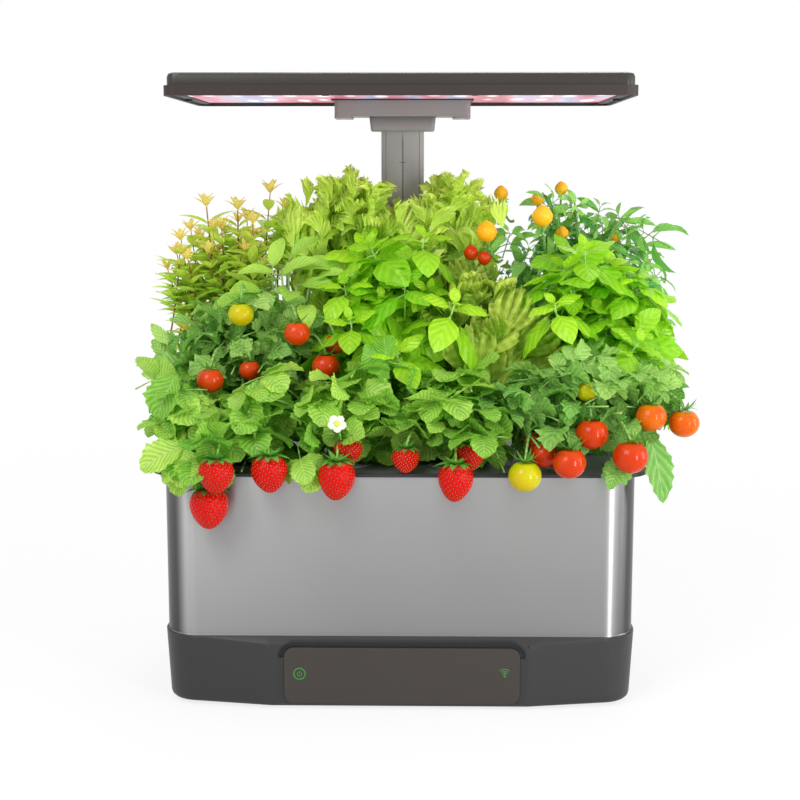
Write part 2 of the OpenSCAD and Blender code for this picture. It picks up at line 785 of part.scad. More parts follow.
module lamp_lens() {
    color([0.96, 0.88, 0.95, 0.6]) slab(lamp_z + lens_in, lamp_z + lens_in + lens_t) difference() {
        lamp_plan(-lens_edge);
        island(-2.4);
        for (p = bracket_screw_at) translate(p) circle(r = boss_r + seat);
    }
}

// A grid of LED chips under the board, nx by ny, shifted by a share of its own pitch
module led_grid(nx, ny, size, shift) {
    px = (lamp_w - 40) / nx;
    py = (lamp_d - 40) / ny;
    for (i = [0 : nx - 1], j = [0 : ny - 1])
        translate([(i - (nx - 1) / 2 + shift[0]) * px - size / 2,
            lamp_y + (j - (ny - 1) / 2 + shift[1]) * py - size / 2,
                   board_z - led_h]) cube([size, size, led_h]);
}

module white_leds() {
    color("#fff6e8") led_grid(10, 4, 3, [0, 0]);
}

module red_leds() {
    color("#ff3b30") led_grid(9, 3, 3, [0, 0]);
}

module blue_leds() {
    color("#4a5cff") led_grid(8, 2, 3, [0, 0.12]);
}

module lamp_screws() {
    color("silver") for (p = lamp_screw_at) translate([p[0], p[1], island_z - screw_head_h]) screw(14);
}

// ---- Deck and pods ----

function pod_x(col) = (col - 1.5) * pod_pitch_x;
function pod_y(row) = pod_y0 + row * pod_pitch_y;

basket_hole_r = basket_r + 0.5;
flange_t = 1.5;
basket_flange_r = basket_hole_r + 3.6;
collar_t = 1.2;
pod_top = rim_top + flange_t + collar_t;
sponge_top = rim_top - 1;
lid_x = tank_w / 2 - recess_in - deck_gap - 7.5;
lid_z = rim_top + lid_t / 2 + 0.6;
knuckle_r = lid_pin_d / 2 + 1.5;
port_l = lid_l - 10;
port_w = lid_w - 8;
port_x = lid_x - 5 - port_l;
float_x = -tank_w / 2 + recess_in + 23;
cage_r = float_r + run + 1.2;
cage_h = 92;
cage_z = ledge_z - cage_h;
cage_floor = 2;
float_h = 22;
stem_r = 1.5;

module each_pod() {
    for (c = [0 : 3], r = [0 : 2]) translate([pod_x(c), pod_y(r), 0]) children();
}

module grow_deck() {
    color("#2b2b2d") difference() {
        union() {
            slab(ledge_z, rim_top) plan(-recess_in - deck_gap);
            slab(ledge_z - skirt_h, ledge_z + 0.1) difference() {
                plan(-tank_in - 0.6);
                plan(-tank_in - 2.6);
            }
            for (y = [-1, 1]) translate([lid_x, y * (lid_w / 2 - 4) + 3, lid_z]) rotate([90, 0, 0])
                cylinder(r = knuckle_r, h = 6);
            for (y = [-1, 1]) translate([lid_x - knuckle_r, y * (lid_w / 2 - 4) - 3, ledge_z + 0.5])
                cube([2 * knuckle_r, 6, lid_z - ledge_z - 0.5]);
            translate([pump_x, pump_y, ledge_z - 5]) cylinder(r = riser_r + 2, h = 5.5);
        }
        each_pod() translate([0, 0, ledge_z - over]) cylinder(r = basket_hole_r, h = deck_t + 2 * over);
        translate([port_x, -port_w / 2, ledge_z - over]) cube([port_l, port_w, deck_t + 2 * over]);
        translate([lid_x, lid_w, lid_z]) rotate([90, 0, 0]) cylinder(r = lid_pin_d / 2 + seat, h = 2 * lid_w);
        translate([lid_x - knuckle_r - 0.6, -lid_w / 2 + 7, rim_top])
            cube([2 * knuckle_r + 1.2, lid_w - 14, 10]);
        translate([float_x, 0, ledge_z - over]) cylinder(r = stem_r + run, h = deck_t + 2 * over);
        translate([pump_x, pump_y, ledge_z - 6]) cylinder(r = riser_r + run, h = 5);
    }
}

module fill_lid() {
    lid_bottom = rim_top + 0.1;
    color("#3a3a3c") difference() {
        union() {
            translate([lid_x - lid_l, -lid_w / 2, lid_bottom]) cube([lid_l - knuckle_r - 0.6, lid_w, lid_t]);
            translate([lid_x - knuckle_r - 1, -lid_w / 2 + 7.4, lid_bottom])
                cube([knuckle_r + 1, lid_w - 14.8, lid_t]);
            translate([lid_x, lid_w / 2 - 7.4, lid_z]) rotate([90, 0, 0])
                cylinder(r = lid_z - lid_bottom, h = lid_w - 14.8);
            translate([lid_x - lid_l - 3, -6, lid_bottom]) cube([4, 12, lid_t]);
        }
        translate([lid_x, lid_w, lid_z]) rotate([90, 0, 0]) cylinder(r = lid_pin_d / 2 + 0.06, h = 2 * lid_w);
    }
}

module lid_pin() {
    color("silver") translate([lid_x, lid_w / 2 - 1, lid_z]) rotate([90, 0, 0])
        cylinder(r = lid_pin_d / 2, h = lid_w - 2);
}

module float_cage() {
    color([0.8, 0.85, 0.88, 0.5]) translate([float_x, 0, cage_z]) difference() {
        cylinder(r = cage_r, h = cage_h);
        translate([0, 0, cage_floor]) cylinder(r = cage_r - 1.2, h = cage_h);
        translate([0, 0, -over]) cylinder(r = 4, h = cage_floor + 2 * over);
        for (a = [0, 90]) rotate(a) translate([-cage_r - over, -2, cage_floor + 6])
            cube([2 * cage_r + 2 * over, 4, cage_h - 22]);
    }
}

module level_float() {
    color("#c8382e") translate([float_x, 0, cage_z + cage_floor]) {
        cylinder(r = float_r, h = float_h);
        cylinder(r = stem_r, h = rim_top + 5 - cage_z - cage_floor);
        translate([0, 0, rim_top + 1.5 - cage_z - cage_floor]) cylinder(r = 3.2, h = 3.5);
    }
}

module pod_baskets() {
    low_r = basket_r - 4.4;
    color("#232323") each_pod() translate([0, 0, rim_top]) difference() {
        rotate_extrude() polygon([
            [4, -basket_h], [low_r, -basket_h], [basket_r, -2], [basket_r, 0], [basket_flange_r, 0],
            [basket_flange_r, flange_t], [basket_r - basket_wall, flange_t], [basket_r - basket_wall, -2],
            [low_r - basket_wall, -basket_h + basket_wall], [4, -basket_h + basket_wall]]);
        for (a = [0 : 60 : 120]) rotate(a) translate([-basket_r - over, -1.6, -basket_h + 6])
            cube([2 * basket_r + 2 * over, 3.2, basket_h - 18]);
    }
}

module grow_sponges() {
    bottom = rim_top - basket_h + basket_wall;
    color("#5b4636") each_pod() translate([0, 0, bottom]) cylinder(r = sponge_r, h = sponge_top - bottom);
}

module pod_collars() {
    color("#30302e") each_pod() translate([0, 0, rim_top + flange_t]) difference() {
        cylinder(r = basket_flange_r - 1, h = collar_t);
        translate([0, 0, -over]) cylinder(r = stem_hole_r, h = collar_t + 2 * over);
    }
}

// ---- Plants ----
// Each plant fills its own cell over the deck and is cut clear of the fruit and of what moves near it.

leaf_t = 1.8;
fruit_gap = 0.4;
cell_gap = 0.4;
stalk_r = 1.3;
stalk_z = rim_top + 36;
row_edge = [-tank_d / 2 - 4, pod_y0 + 26, pod_y0 + 80, tank_d / 2 + 6];

// [row, column of the pod, left and right edge in pod pitches, height, leaves, leaf width, lift of leaves]
straws = [
    [0, 0, -2.36, -1.02, 88, 11, 46, 40], [0, 1, -1.02, 0, 94, 11, 44, 40], [0, 2, 0, 0.93, 90, 11, 42, 40]];
tomato_rows = [[1, 0, -2.36, -0.66, 158, 14, 34, 40], [0, 3, 0.93, 2.62, 104, 10, 38, 40]];
basils = [[1, 1, -0.66, 0.47, 206, 16, 40, 50], [1, 3, 1.32, 2.66, 192, 15, 42, 45]];
leafy = [
    [2, 1, -1.18, 0, 262, 10, 56, 76], [2, 2, 0, 0.93, 256, 9, 54, 76], [1, 2, 0.47, 1.32, 176, 9, 52, 70]];
pepper = [2, 3, 0.93, 2.74, 240, 16, 30, 45];
herb = [2, 0, -2.46, -1.18, 240, 6];

straw_top = pod_top + max([for (p = straws) p[4]]);

function plant_at(p) = [pod_x(p[1]), pod_y(p[0]), pod_top];
function cell_low(p) = [p[2] * pod_pitch_x + cell_gap, row_edge[p[0]] + cell_gap, pod_top + cell_gap];
function cell_high(p) = [p[3] * pod_pitch_x - cell_gap, row_edge[p[0] + 1] - cell_gap, pod_top + p[4]];
function cell_mid(p) = (cell_low(p) + cell_high(p)) / 2;
function cell_half(p) = (cell_high(p) - cell_low(p)) / 2;

// A point on the line along which a plant grows, from its crown at 0 to its top at 1
function on_axis(p, t) = plant_at(p) * (1 - t) + [cell_mid(p)[0], cell_mid(p)[1], cell_high(p)[2]] * t;

module cell(p) {
    translate(cell_low(p)) cube(cell_high(p) - cell_low(p));
}

// A leaf from the origin along +X, with a drooping tip
module leaf(l, w) {
    hull() {
        cylinder(r = 1.5, h = leaf_t, $fn = 4);
        translate([0.62 * l, 0, 0.04 * l]) cylinder(r = w / 2, h = leaf_t, $fn = 6);
        translate([l, 0, 0]) cylinder(r = 1, h = leaf_t, $fn = 3);
    }
}

// Rounded masses of foliage that wind up a plant's line, n of them
module clumps(p, n) {
    half = cell_half(p);
    translate(cell_mid(p)) scale([1.04 * half[0], 1.14 * half[1], 0.95 * half[2]]) rotate(20)
        sphere(1, $fn = 10);
    for (i = [0 : n - 1]) {
        t = (i + 0.5) / n;
        az = i * 137.5 + 60;
        spread = 0.6 * (1 - 0.45 * t);
        translate(cell_mid(p) + [half[0] * spread * cos(az), 0.7 * half[1] * spread * sin(az),
            half[2] * (1.34 * t - 0.72)])
            rotate([18, 0, az]) scale([0.42 * half[0], 0.62 * half[1], 0.34 * half[2]]) sphere(1, $fn = 7);
    }
}

module stem(p) {
    translate([pod_x(p[1]), pod_y(p[0]), sponge_top]) cylinder(r = 3, h = pod_top + 8 - sponge_top, $fn = 6);
    hull() {
        translate(plant_at(p) + [0, 0, 5]) sphere(3, $fn = 6);
        translate(on_axis(p, 0.4)) sphere(3, $fn = 6);
    }
}

// A bush: foliage and leaves that spiral up a leaning stem
module bush(p) {
    half = cell_half(p);
    n = p[5];
    stem(p);
    intersection() {
        cell(p);
        union() {
            clumps(p, 6);
            for (i = [0 : n - 1]) {
                t = (i + 0.5) / n;
                az = i * 137.5;
                reach = half[0] * half[1] / norm([half[1] * cos(az), half[0] * sin(az)]);
                translate(on_axis(p, 0.2 + 0.62 * t)) rotate([18 * sin(az * 3), 10 - (p[7] + 30) * t * t, az])
                    leaf(reach * 1.2 + 10, p[6] * (1.1 - 0.25 * t));
            }
        }
    }
}

// A head of broad upright leaves from one crown, full at the top
module head(p) {
    half = cell_half(p);
    n = p[5];
    stem(p);
    intersection() {
        cell(p);
        union() {
            translate(cell_mid(p) + [0, 0, 0.3 * half[2]])
                scale([1.12 * half[0], 1.1 * half[1], 0.62 * half[2]])
                rotate(20) sphere(1, $fn = 10);
            translate(on_axis(p, 0.34)) scale([0.95 * half[0], 0.9 * half[1], 0.72 * half[2]])
                sphere(1, $fn = 7);
            for (i = [0 : n - 1]) {
                t = (i + 0.5) / n;
                translate(on_axis(p, 0.3)) rotate([0, -p[7] - (88 - p[7]) * t, i * 137.5 + 40])
                    leaf(p[4] * (0.66 + 0.06 * t), p[6]);
            }
        }
    }
}

// Upright shoots, slender at the foot and pointed at the top, with a few narrow leaves
module shoots(p) {
    half = cell_half(p);
    foot = plant_at(p) + [0, 0, 8];
    mid = cell_mid(p);
    stem(p);
    intersection() {
        cell(p);
        union() {
            translate(mid - [0, 0, 0.4 * half[2]]) scale([0.98 * half[0], 0.98 * half[1], 0.64 * half[2]])
                sphere(1, $fn = 8);
            for (i = [0 : p[5] - 1]) {
                f = i / (p[5] - 1);
                top = [mid[0] + 1.55 * half[0] * (f - 0.5), mid[1] + (i % 2 - 0.5) * half[1],
                       pod_top + p[4] * (0.78 + 0.2 * sin(180 * f))];
                hull() {
                    translate(foot) sphere(3, $fn = 6);
                    translate(foot + (top - foot) * 0.7) sphere(12, $fn = 7);
                    translate(top - [0, 0, 2]) sphere(2, $fn = 5);
                }
                for (k = [0 : 4]) translate(foot + (top - foot) * (0.55 + 0.09 * k))
                    rotate([0, -35, i * 80 + k * 137.5]) leaf(25, 8);
            }
        }
    }
}

// Space that stays free for the mast, the bracket, the flap and the float
module keep_clear() {
    translate([-outer_w / 2 - 17, mast_y - outer_d / 2 - 13, rim_top - 5])
        cube([outer_w + 34, 200, lamp_z - rim_top]);
    translate([-bracket_w / 2 - 8, bracket_front - 5, lamp_z - 80]) cube([bracket_w + 16, 200, 80]);
    translate([lid_x - lid_l - 6, -lid_w / 2 - 2, rim_top]) cube([lid_l + 16, lid_w + 4, lid_l + 9]);
    translate([float_x, 0, rim_top]) cylinder(r = 6, h = float_rise + 10, $fn = 6);
}

module clear_of_fruit() {
    difference() {
        children();
        keep_clear();
        fruit_windows(fruit_gap);
    }
}

module strawberry_plants() {
    color("#3f8f2b") {
        clear_of_fruit() for (p = straws) bush(p);
        for (b = berries) stalk(on_axis(straws[b[5]], 0.4), berry_top(b), stalk_z);
    }
}

module tomato_plants() {
    color("#3d7f35") {
        clear_of_fruit() for (p = tomato_rows) bush(p);
        ball_stalks(concat(reds, yellows));
    }
}

module basil_plants() {
    color("#5cb531") clear_of_fruit() for (p = basils) bush(p);
}

module lettuce_plants() {
    color("#9ccc3c") clear_of_fruit() for (p = leafy) head(p);
}

module pepper_plant() {
    color("#2f7338") {
        clear_of_fruit() bush(pepper);
        ball_stalks(chillies);
    }
}

module red_tip_herb() {
    color("#7d9a3a") difference() {
        shoots(herb);
        keep_clear();
    }
}

// ---- Fruit ----
// Strawberries hang over the front rim: [place across in pod pitches, reach past the steel, top over the rim,
// radius, length, column of the plant]
berries = [
    [-1.63, 36, 19, 15.5, 30, 0], [-1.72, 21, -10.4, 17.2, 35, 0], [-1.17, 21, 19, 16, 32, 0],
    [-0.56, 21, 14.5, 16.4, 34, 1], [-0.465, 2, 30.5, 12.8, 22, 1], [0.06, 2, 23, 12.6, 22, 1],
    [0.515, 21, 12.5, 15.4, 33, 2], [0.65, 6, 28, 12.4, 24, 2]];
// Tomatoes: [place across in pod pitches, place from the front, centre over the rim, radius, row, column]
reds = [
    [-0.97, 52, 118.5, 11.9, 1, 0], [-1.78, 40, 77, 12.2, 1, 0], [-0.702, 52, 88.5, 12.6, 1, 0],
    [-0.625, 66, 107, 10, 1, 0], [-1.436, 65, 83, 10, 1, 0],
    [1.536, -21, 14, 14.6, 0, 3], [2.088, -18, 19, 15.5, 0, 3],
    [1.755, -2, 36.5, 14.6, 0, 3], [1.33, 2, 17, 12, 0, 3], [1.27, 27, 25, 11, 0, 3]];
yellows = [
    [-1.513, 65, 134.4, 11.9, 1, 0], [1.138, -21, 2.4, 14.6, 0, 3], [2.302, 6, 50.4, 13.7, 0, 3],
    [2.627, 20, 42.4, 13.7, 0, 3], [1.717, 14, 72.4, 10.2, 0, 3]];
// Peppers: as tomatoes
chillies = [
    [0.995, 170, 242.4, 6.7, 2, 3], [0.826, 102, 208, 9.2, 2, 3], [1.355, 158, 237.1, 6.2, 2, 3],
    [1.378, 124, 221.5, 9.6, 2, 3], [1.6, 170, 247, 6.2, 2, 3], [1.6, 155, 204.6, 6.3, 2, 3],
    [2.154, 170, 201, 5.6, 2, 3], [0.68, 116, 188, 6.8, 2, 3], [0.81, 113, 183, 6.3, 2, 3]];

function berry_top(b) = [b[0] * pod_pitch_x, -tank_d / 2 - b[1], rim_top + b[2]];
function ball_at(f) = [f[0] * pod_pitch_x, -tank_d / 2 + f[1], rim_top + f[2]];

// Radius of a strawberry at a share t of its length, from stalk to tip
function berry_r(t) = pow(sin(180 * pow(0.06 + 0.92 * t, 0.62)), 0.8);

module berry(r, l, grow) {
    steps = 12;
    rotate_extrude($fn = 36) polygon(concat(
        [[0, grow], [0, -l - grow]],
        [for (i = [steps : -1 : 0]) [r * berry_r(i / steps) + grow,
            -l * i / steps + (i == 0 ? grow : 0) - (i == steps ? grow : 0)]]));
}

module berry_set(grow) {
    for (b = berries) translate(berry_top(b)) berry(b[3], b[4], grow);
}

module ball_set(list, grow, facets) {
    for (f = list) translate(ball_at(f)) sphere(f[3] + grow, $fn = facets);
}

// What a fruit takes from the plants: its own room, and the open space in front of it and over it
module fruit_windows(grow) {
    outside = 1.12; // a ball of ten facets clears a true one when it is this much larger
    for (f = concat(reds, yellows, chillies)) if (f[1] > -15) for (way = [[0, -50, 0], [0, 0, 40]])
        hull() for (k = [0, 1]) translate(ball_at(f) + k * way) sphere((f[3] + grow) * outside, $fn = 10);
    for (b = berries) if (b[1] < 15) hull() for (y = [0, -30])
        translate(berry_top(b) + [0, y, -b[4] - grow])
            cylinder(r = (b[3] + grow) * outside, h = b[4] + 12, $fn = 10);
}

module rod(a, b) {
    hull() for (p = [a, b]) translate(p) sphere(stalk_r, $fn = 4);
}

// A stalk that leaves its plant, passes at a height over the fruit and comes down on it
module stalk(from, fruit_top, height) {
    rise = [fruit_top[0], fruit_top[1], max(height, fruit_top[2] + 12)];
    rod(from, rise);
    rod(rise, fruit_top + [0, 0, stalk_r + 0.3]);
}

module ball_stalks(list) {
    for (f = list) {
        p = f[4] == 2 ? pepper : f[4] == 1 ? tomato_rows[0] : tomato_rows[1];
        top = ball_at(f) + [0, 0, f[3]];
        height = f[4] == 1 ? straw_top + 6 : stalk_z;
        stalk(on_axis(p, min(0.92, (max(height, top[2] + 4) - pod_top) / p[4])), top, height);
    }
}

module strawberries() {
    color("#d3202b") berry_set(0);
}

module red_tomatoes() {
    color("#d9311d") ball_set(reds, 0, 48);
}

module ripening_tomatoes() {
    color("#e7b32a") ball_set(yellows, 0, 48);
}

module peppers() {
    color("#f0902c") ball_set(chillies, 0, 36);
}

base_housing();
base_cover();
base_screws();
rubber_feet();
touch_fascia();
power_ring();
power_key();
control_board();
power_inlet();
board_lead();
water_tank();
steel_band();
rim_trim();
drain_plug();
pump_housing();
pump_cover();
pump_filter();
pump_shaft();
pump_impeller();
riser_tube();
pump_lead();
pump_grommet();
mast_outer();
outer_bush();
mast_screws();
mast_middle();
middle_bush();
mast_inner();
lamp_lead();
mast_head();
lamp_bracket();
bracket_screws();
lamp_frame();
lamp_cover();
led_board();
heat_sink();
lamp_lens();
white_leds();
red_leds();
blue_leds();
lamp_screws();
grow_deck();
fill_lid();
lid_pin();
float_cage();
level_float();
pod_baskets();
grow_sponges();
pod_collars();
strawberry_plants();
tomato_plants();
basil_plants();
lettuce_plants();
pepper_plant();
red_tip_herb();
strawberries();
red_tomatoes();
ripening_tomatoes();
peppers();
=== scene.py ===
"""Countertop hydroponic garden: finishes of the housing, tank, mast and lamp, and modelled plants and fruit."""

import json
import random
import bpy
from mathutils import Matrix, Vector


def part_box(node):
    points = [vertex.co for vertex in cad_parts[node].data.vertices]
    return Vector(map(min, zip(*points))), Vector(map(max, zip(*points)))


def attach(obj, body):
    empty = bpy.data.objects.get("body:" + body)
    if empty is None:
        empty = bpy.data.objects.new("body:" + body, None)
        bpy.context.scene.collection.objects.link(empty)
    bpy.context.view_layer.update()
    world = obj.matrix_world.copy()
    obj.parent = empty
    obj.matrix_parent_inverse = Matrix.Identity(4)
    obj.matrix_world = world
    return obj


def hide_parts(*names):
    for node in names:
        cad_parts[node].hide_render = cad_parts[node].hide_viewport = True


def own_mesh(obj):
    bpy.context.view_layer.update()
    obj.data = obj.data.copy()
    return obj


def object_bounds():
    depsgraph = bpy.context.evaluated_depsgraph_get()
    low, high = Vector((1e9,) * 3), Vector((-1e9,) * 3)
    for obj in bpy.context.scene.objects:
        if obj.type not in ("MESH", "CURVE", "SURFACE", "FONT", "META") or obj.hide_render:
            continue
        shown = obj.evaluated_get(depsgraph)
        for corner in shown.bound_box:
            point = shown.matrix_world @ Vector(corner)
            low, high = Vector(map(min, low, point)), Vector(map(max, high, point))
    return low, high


bl_info = {
    "name": "Countertop Garden",
    "version": (1, 0, 0),
    "blender": (4, 5, 0),
    "location": "3D View > Sidebar > Garden",
    "description": "Dresses the packed hydroponic garden and sets its stage",
    "category": "Object",
}

from math import atan2, cos, exp, pi, radians, sin

import bmesh
import bpy
from mathutils import Euler, Matrix, Vector
from mathutils.kdtree import KDTree

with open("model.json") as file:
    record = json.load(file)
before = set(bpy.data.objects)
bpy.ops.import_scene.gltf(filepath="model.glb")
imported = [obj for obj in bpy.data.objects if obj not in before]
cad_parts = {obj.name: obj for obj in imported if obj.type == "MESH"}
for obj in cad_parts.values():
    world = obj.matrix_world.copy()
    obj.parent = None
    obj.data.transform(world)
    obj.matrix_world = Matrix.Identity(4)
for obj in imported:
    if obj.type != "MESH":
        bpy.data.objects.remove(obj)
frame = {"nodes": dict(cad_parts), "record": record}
CAD_BOX = [list(corner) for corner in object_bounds()]
BODY_OF = {node: body for body, members in frame["record"]["behaviour"]["bodies"].items() for node in members}
MM = 0.001
UP = Vector((0, 0, 1))
# The camera's place, which leaves keep from standing between it and a fruit
EYE = Vector((0.0234, -1.4182, 0.4766))
# The camera's focal length and picture width in pixels, and its sensor's width in millimetres
FOCAL_LENGTH, PICTURE_WIDTH, SENSOR_WIDTH = 1514.3, 800, 36
# The pits of a strawberry: how many, how wide, and the angle from each to the next, which spaces them evenly
PITS, PIT_WIDTH, GOLDEN_ANGLE = 190, 0.00125, 2.39996
# Heights over which the painted highlight along the steel band's foot fades out, and places in X and Y where the
# painted shade on its bends fades in
FOOT_HIGHLIGHT_Z, BEND_SHADE_X, BEND_SHADE_Y = (0.0664, 0.0676), (0.191, 0.2), (0.08, 0.09)
# Where flat rings as wide as the tank are parted into fields, each an axis and a place on it
RING_CUTS = [(0, side * x) for side in (-1, 1) for x in (0.0361, 0.0963, 0.1805)]
RING_CUTS += [(1, y) for y in (-0.0801, 0.0003, 0.0801)]
# Boxes that stay free of leaves: the mast, the bracket, the flap, the float's rod, and the tank
KEEP_OUT = [
    (Vector((-0.031, 0.077, 0.2)), Vector((0.031, 0.2, 0.6))),
    (Vector((-0.072, 0.069, 0.47)), Vector((0.072, 0.2, 0.6))),
    (Vector((0.167, -0.02, 0.2)), Vector((0.21, 0.02, 0.25))),
    (Vector((-0.191, -0.004, 0.2)), Vector((-0.183, 0.004, 0.25))),
    (Vector((-0.224, -0.1135, 0.1)), Vector((0.224, 0.1135, 0.2165))),
]
# What the flap and the float's rod pass through as they move, with room for a leaf's mesh width
SWEPT = [
    (Vector((0.163, -0.023, 0.2)), Vector((0.213, 0.023, 0.252))),
    (Vector((-0.195, -0.008, 0.2)), Vector((-0.179, 0.008, 0.253))),
]


def linear(hex_colour):
    """Linear RGBA of an sRGB hex colour."""
    parts = [int(hex_colour[i : i + 2], 16) / 255 for i in (1, 3, 5)]
    return [*(c / 12.92 if c <= 0.04045 else ((c + 0.055) / 1.055) ** 2.4 for c in parts), 1.0]


def colour_property(name, description, hex_colour):
    return bpy.props.FloatVectorProperty(
        name=name, description=description, subtype="COLOR", size=4, min=0, max=1, default=linear(hex_colour)
    )


def length_property(name, description, length_mm):
    return bpy.props.FloatProperty(name=name, description=description, default=length_mm * MM, min=0, unit="LENGTH")


class GardenLook(bpy.types.PropertyGroup):
    """Colours of the garden's materials"""

    base: colour_property("Base", "Moulded ABS of the base", "#2f2f2f")
    fascia: colour_property("Fascia", "Satin acrylic of the touch fascia", "#393430")
    # The groove colour is painted shade, laid over the recess above the fascia
    groove: colour_property("Groove", "Shaded recess over the fascia", "#1a1c1f")
    icons: colour_property("Icons", "Printed and lit symbols", "#3a7c3d")
    steel: colour_property("Steel", "Brushed stainless steel band", "#aeaeae")
    rim: colour_property("Rim", "Moulded polypropylene rim", "#2c2c2e")
    mast: colour_property("Mast", "ABS of the upper mast stage", "#949492")
    bracket: colour_property("Bracket", "ABS of the bracket and collar", "#8a8786")
    brim: colour_property("Brim", "Painted ABS of the lamp's brim", "#2f2724")
    cover: colour_property("Cover", "Painted ABS of the lamp's cover", "#322f29")
    glow: colour_property("Glow", "Light through the lens", "#d9819c")
    strawberry: colour_property("Strawberry", "Ripe strawberry skin", "#c8090b")
    tomato: colour_property("Tomato", "Ripe tomato skin", "#bc3204")
    ripening: colour_property("Ripening tomato", "Yellow tomato skin", "#cf5408")
    pepper: colour_property("Pepper", "Ripe pepper skin", "#f2a416")


class GardenSizes(bpy.types.PropertyGroup):
    """Sizes of the garden's fine parts"""

    edge: length_property("Edge radius", "Rounding of moulded edges", 0.5)
    strawberry_leaf: length_property("Strawberry leaflet", "Length of a leaflet", 37)
    tomato_leaf: length_property("Tomato leaf", "Length of a feathered leaf", 62)
    basil_leaf: length_property("Basil leaf", "Length of a grown leaf", 52)
    lettuce_leaf: length_property("Lettuce leaf", "Length of a grown leaf", 92)
    pepper_leaf: length_property("Pepper leaf", "Length of a grown leaf", 58)
    herb_leaf: length_property("Herb leaf", "Length of a grown leaf", 28)
    seed: bpy.props.IntProperty(name="Seed", description="Changes how the leaves lie", default=7, min=0)


def look():
    return bpy.context.scene.garden_look


def sizes():
    return bpy.context.scene.garden_sizes


# ---- Materials ----

# What the second word of a node's kind sets, where it isn't an operation
MODE = {"Mix": "blend_type", "MapRange": "interpolation_type"}
# The output that a node usually gives, where it isn't the first, and the places of a colour mix's colours
OUTPUT = {"ShaderNodeTexCoord": "Object", "ShaderNodeMix": 2, "ShaderNodeAttribute": "Fac"}
MIXED = {"A": 6, "B": 7}


def fit(node, *inputs, **settings):
    """Sets a node's first inputs, and its properties and sockets by name. A value that is a node or a socket is
    linked. Span holds the ends of a map range, and stops the positions and colours of a colour ramp."""
    for key, value in (*enumerate(inputs), *settings.items()):
        if isinstance(value, bpy.types.Node):
            value = value.outputs[OUTPUT.get(value.bl_idname, 0)]
        if key == "span":
            for place, end in enumerate(value, 1):
                node.inputs[place].default_value = end
        elif key == "stops":
            elements = node.color_ramp.elements
            elements[0].position, elements[0].color = value[0]
            elements[1].position, elements[1].color = value[-1]
            for position, colour in value[1:-1]:
                elements.new(position).color = colour
        elif isinstance(key, str) and hasattr(node, key):
            setattr(node, key, value)
        else:
            place = MIXED.get(key, key)
            socket = node.inputs[place.replace("_", " ") if isinstance(place, str) else place]
            if isinstance(value, bpy.types.NodeSocket):
                node.id_data.links.new(value, socket)
            else:
                socket.default_value = value
    return node


def add(tree, kind, *inputs, **settings):
    """A new shader node with its settings and links. A second word in its kind is its operation or mode."""
    kind, *mode = kind.split()
    node = tree.nodes.new("ShaderNode" + kind)
    if kind == "Mix":
        node.data_type = "RGBA"
    if mode:
        setattr(node, MODE.get(kind, "operation"), mode[0])
    return fit(node, *inputs, **settings)


def principled(name, colour, roughness, **sockets):
    """A new material with one shader: (material, node tree, shader)."""
    material = bpy.data.materials.new(name)
    material.use_nodes = True
    tree = material.node_tree
    return material, tree, fit(tree.nodes["Principled BSDF"], Base_Color=colour, Roughness=roughness, **sockets)


def moulded(name, colour, roughness, grain_mm=1.2, depth_mm=0.04, speckle=0.05, **sockets):
    """Injection-moulded plastic: fine spark-eroded grain that breaks up the highlights."""
    sockets.setdefault("Specular_IOR_Level", 0.3)
    material, tree, shader = principled(name, colour, roughness, **sockets)
    place = add(tree, "TexCoord")
    grain = add(tree, "TexNoise", place, Scale=1 / (grain_mm * MM), Detail=3, Roughness=0.6)
    cloud = add(tree, "TexNoise", place, Scale=14, Detail=3)
    tone = add(tree, "MapRange", cloud, span=(0, 1, 1 - speckle, 1 + speckle))
    shade = add(tree, "Mix MULTIPLY", 1, A=colour, B=tone)
    rough = add(tree, "MapRange", cloud, span=(0, 1, roughness - 0.05, roughness + 0.07))
    bump = add(tree, "Bump", Strength=0.35, Distance=depth_mm * MM, Height=grain)
    fit(shader, Base_Color=shade, Roughness=rough, Normal=bump)
    return material


def painted_recess_shade(material, colour):
    """Paints shade into the recess that the mould leaves over the fascia and, more faintly, beside it, where no light
    gets in.
    """
    tree = material.node_tree
    shader = tree.nodes["Principled BSDF"]
    body = shader.inputs["Base Color"].links[0].from_socket
    low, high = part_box("touch_fascia")
    corner = 10 * MM
    centre = ((low.x + high.x) / 2, 0, (low.z + high.z) / 2)
    inner = ((high.x - low.x) / 2 - corner, 1, (high.z - low.z) / 2 - corner)
    reach = place = add(tree, "TexCoord")
    for operation, by in (("SUBTRACT", centre), ("ABSOLUTE", (0, 0, 0)), ("SUBTRACT", inner), ("MAXIMUM", (0, 0, 0))):
        reach = add(tree, "VectorMath " + operation, reach, by)
    reach = add(tree, "VectorMath LENGTH", reach).outputs["Value"]
    _, y, z = add(tree, "SeparateXYZ", place).outputs
    # Masks of the painted shade: a crisp band over the fascia and a faint one beside it
    crisp = add(tree, "MapRange", reach, span=(corner + 7 * MM, corner + 5.4 * MM, 0, 1))
    soft = add(tree, "MapRange", reach, span=(corner + 8 * MM, corner + 1 * MM, 0, 0.35))
    upper = add(tree, "MapRange SMOOTHSTEP", z, span=(high.z - 15 * MM, high.z - 2 * MM, 0, 1))
    band = add(tree, "Math MULTIPLY", crisp, upper)
    both = add(tree, "Math MAXIMUM", band, soft)
    front = add(tree, "Math LESS_THAN", y, -0.09)
    share = add(tree, "Math MULTIPLY", both, front)
    fit(shader, Base_Color=add(tree, "Mix", share, A=body, B=colour))
    return material


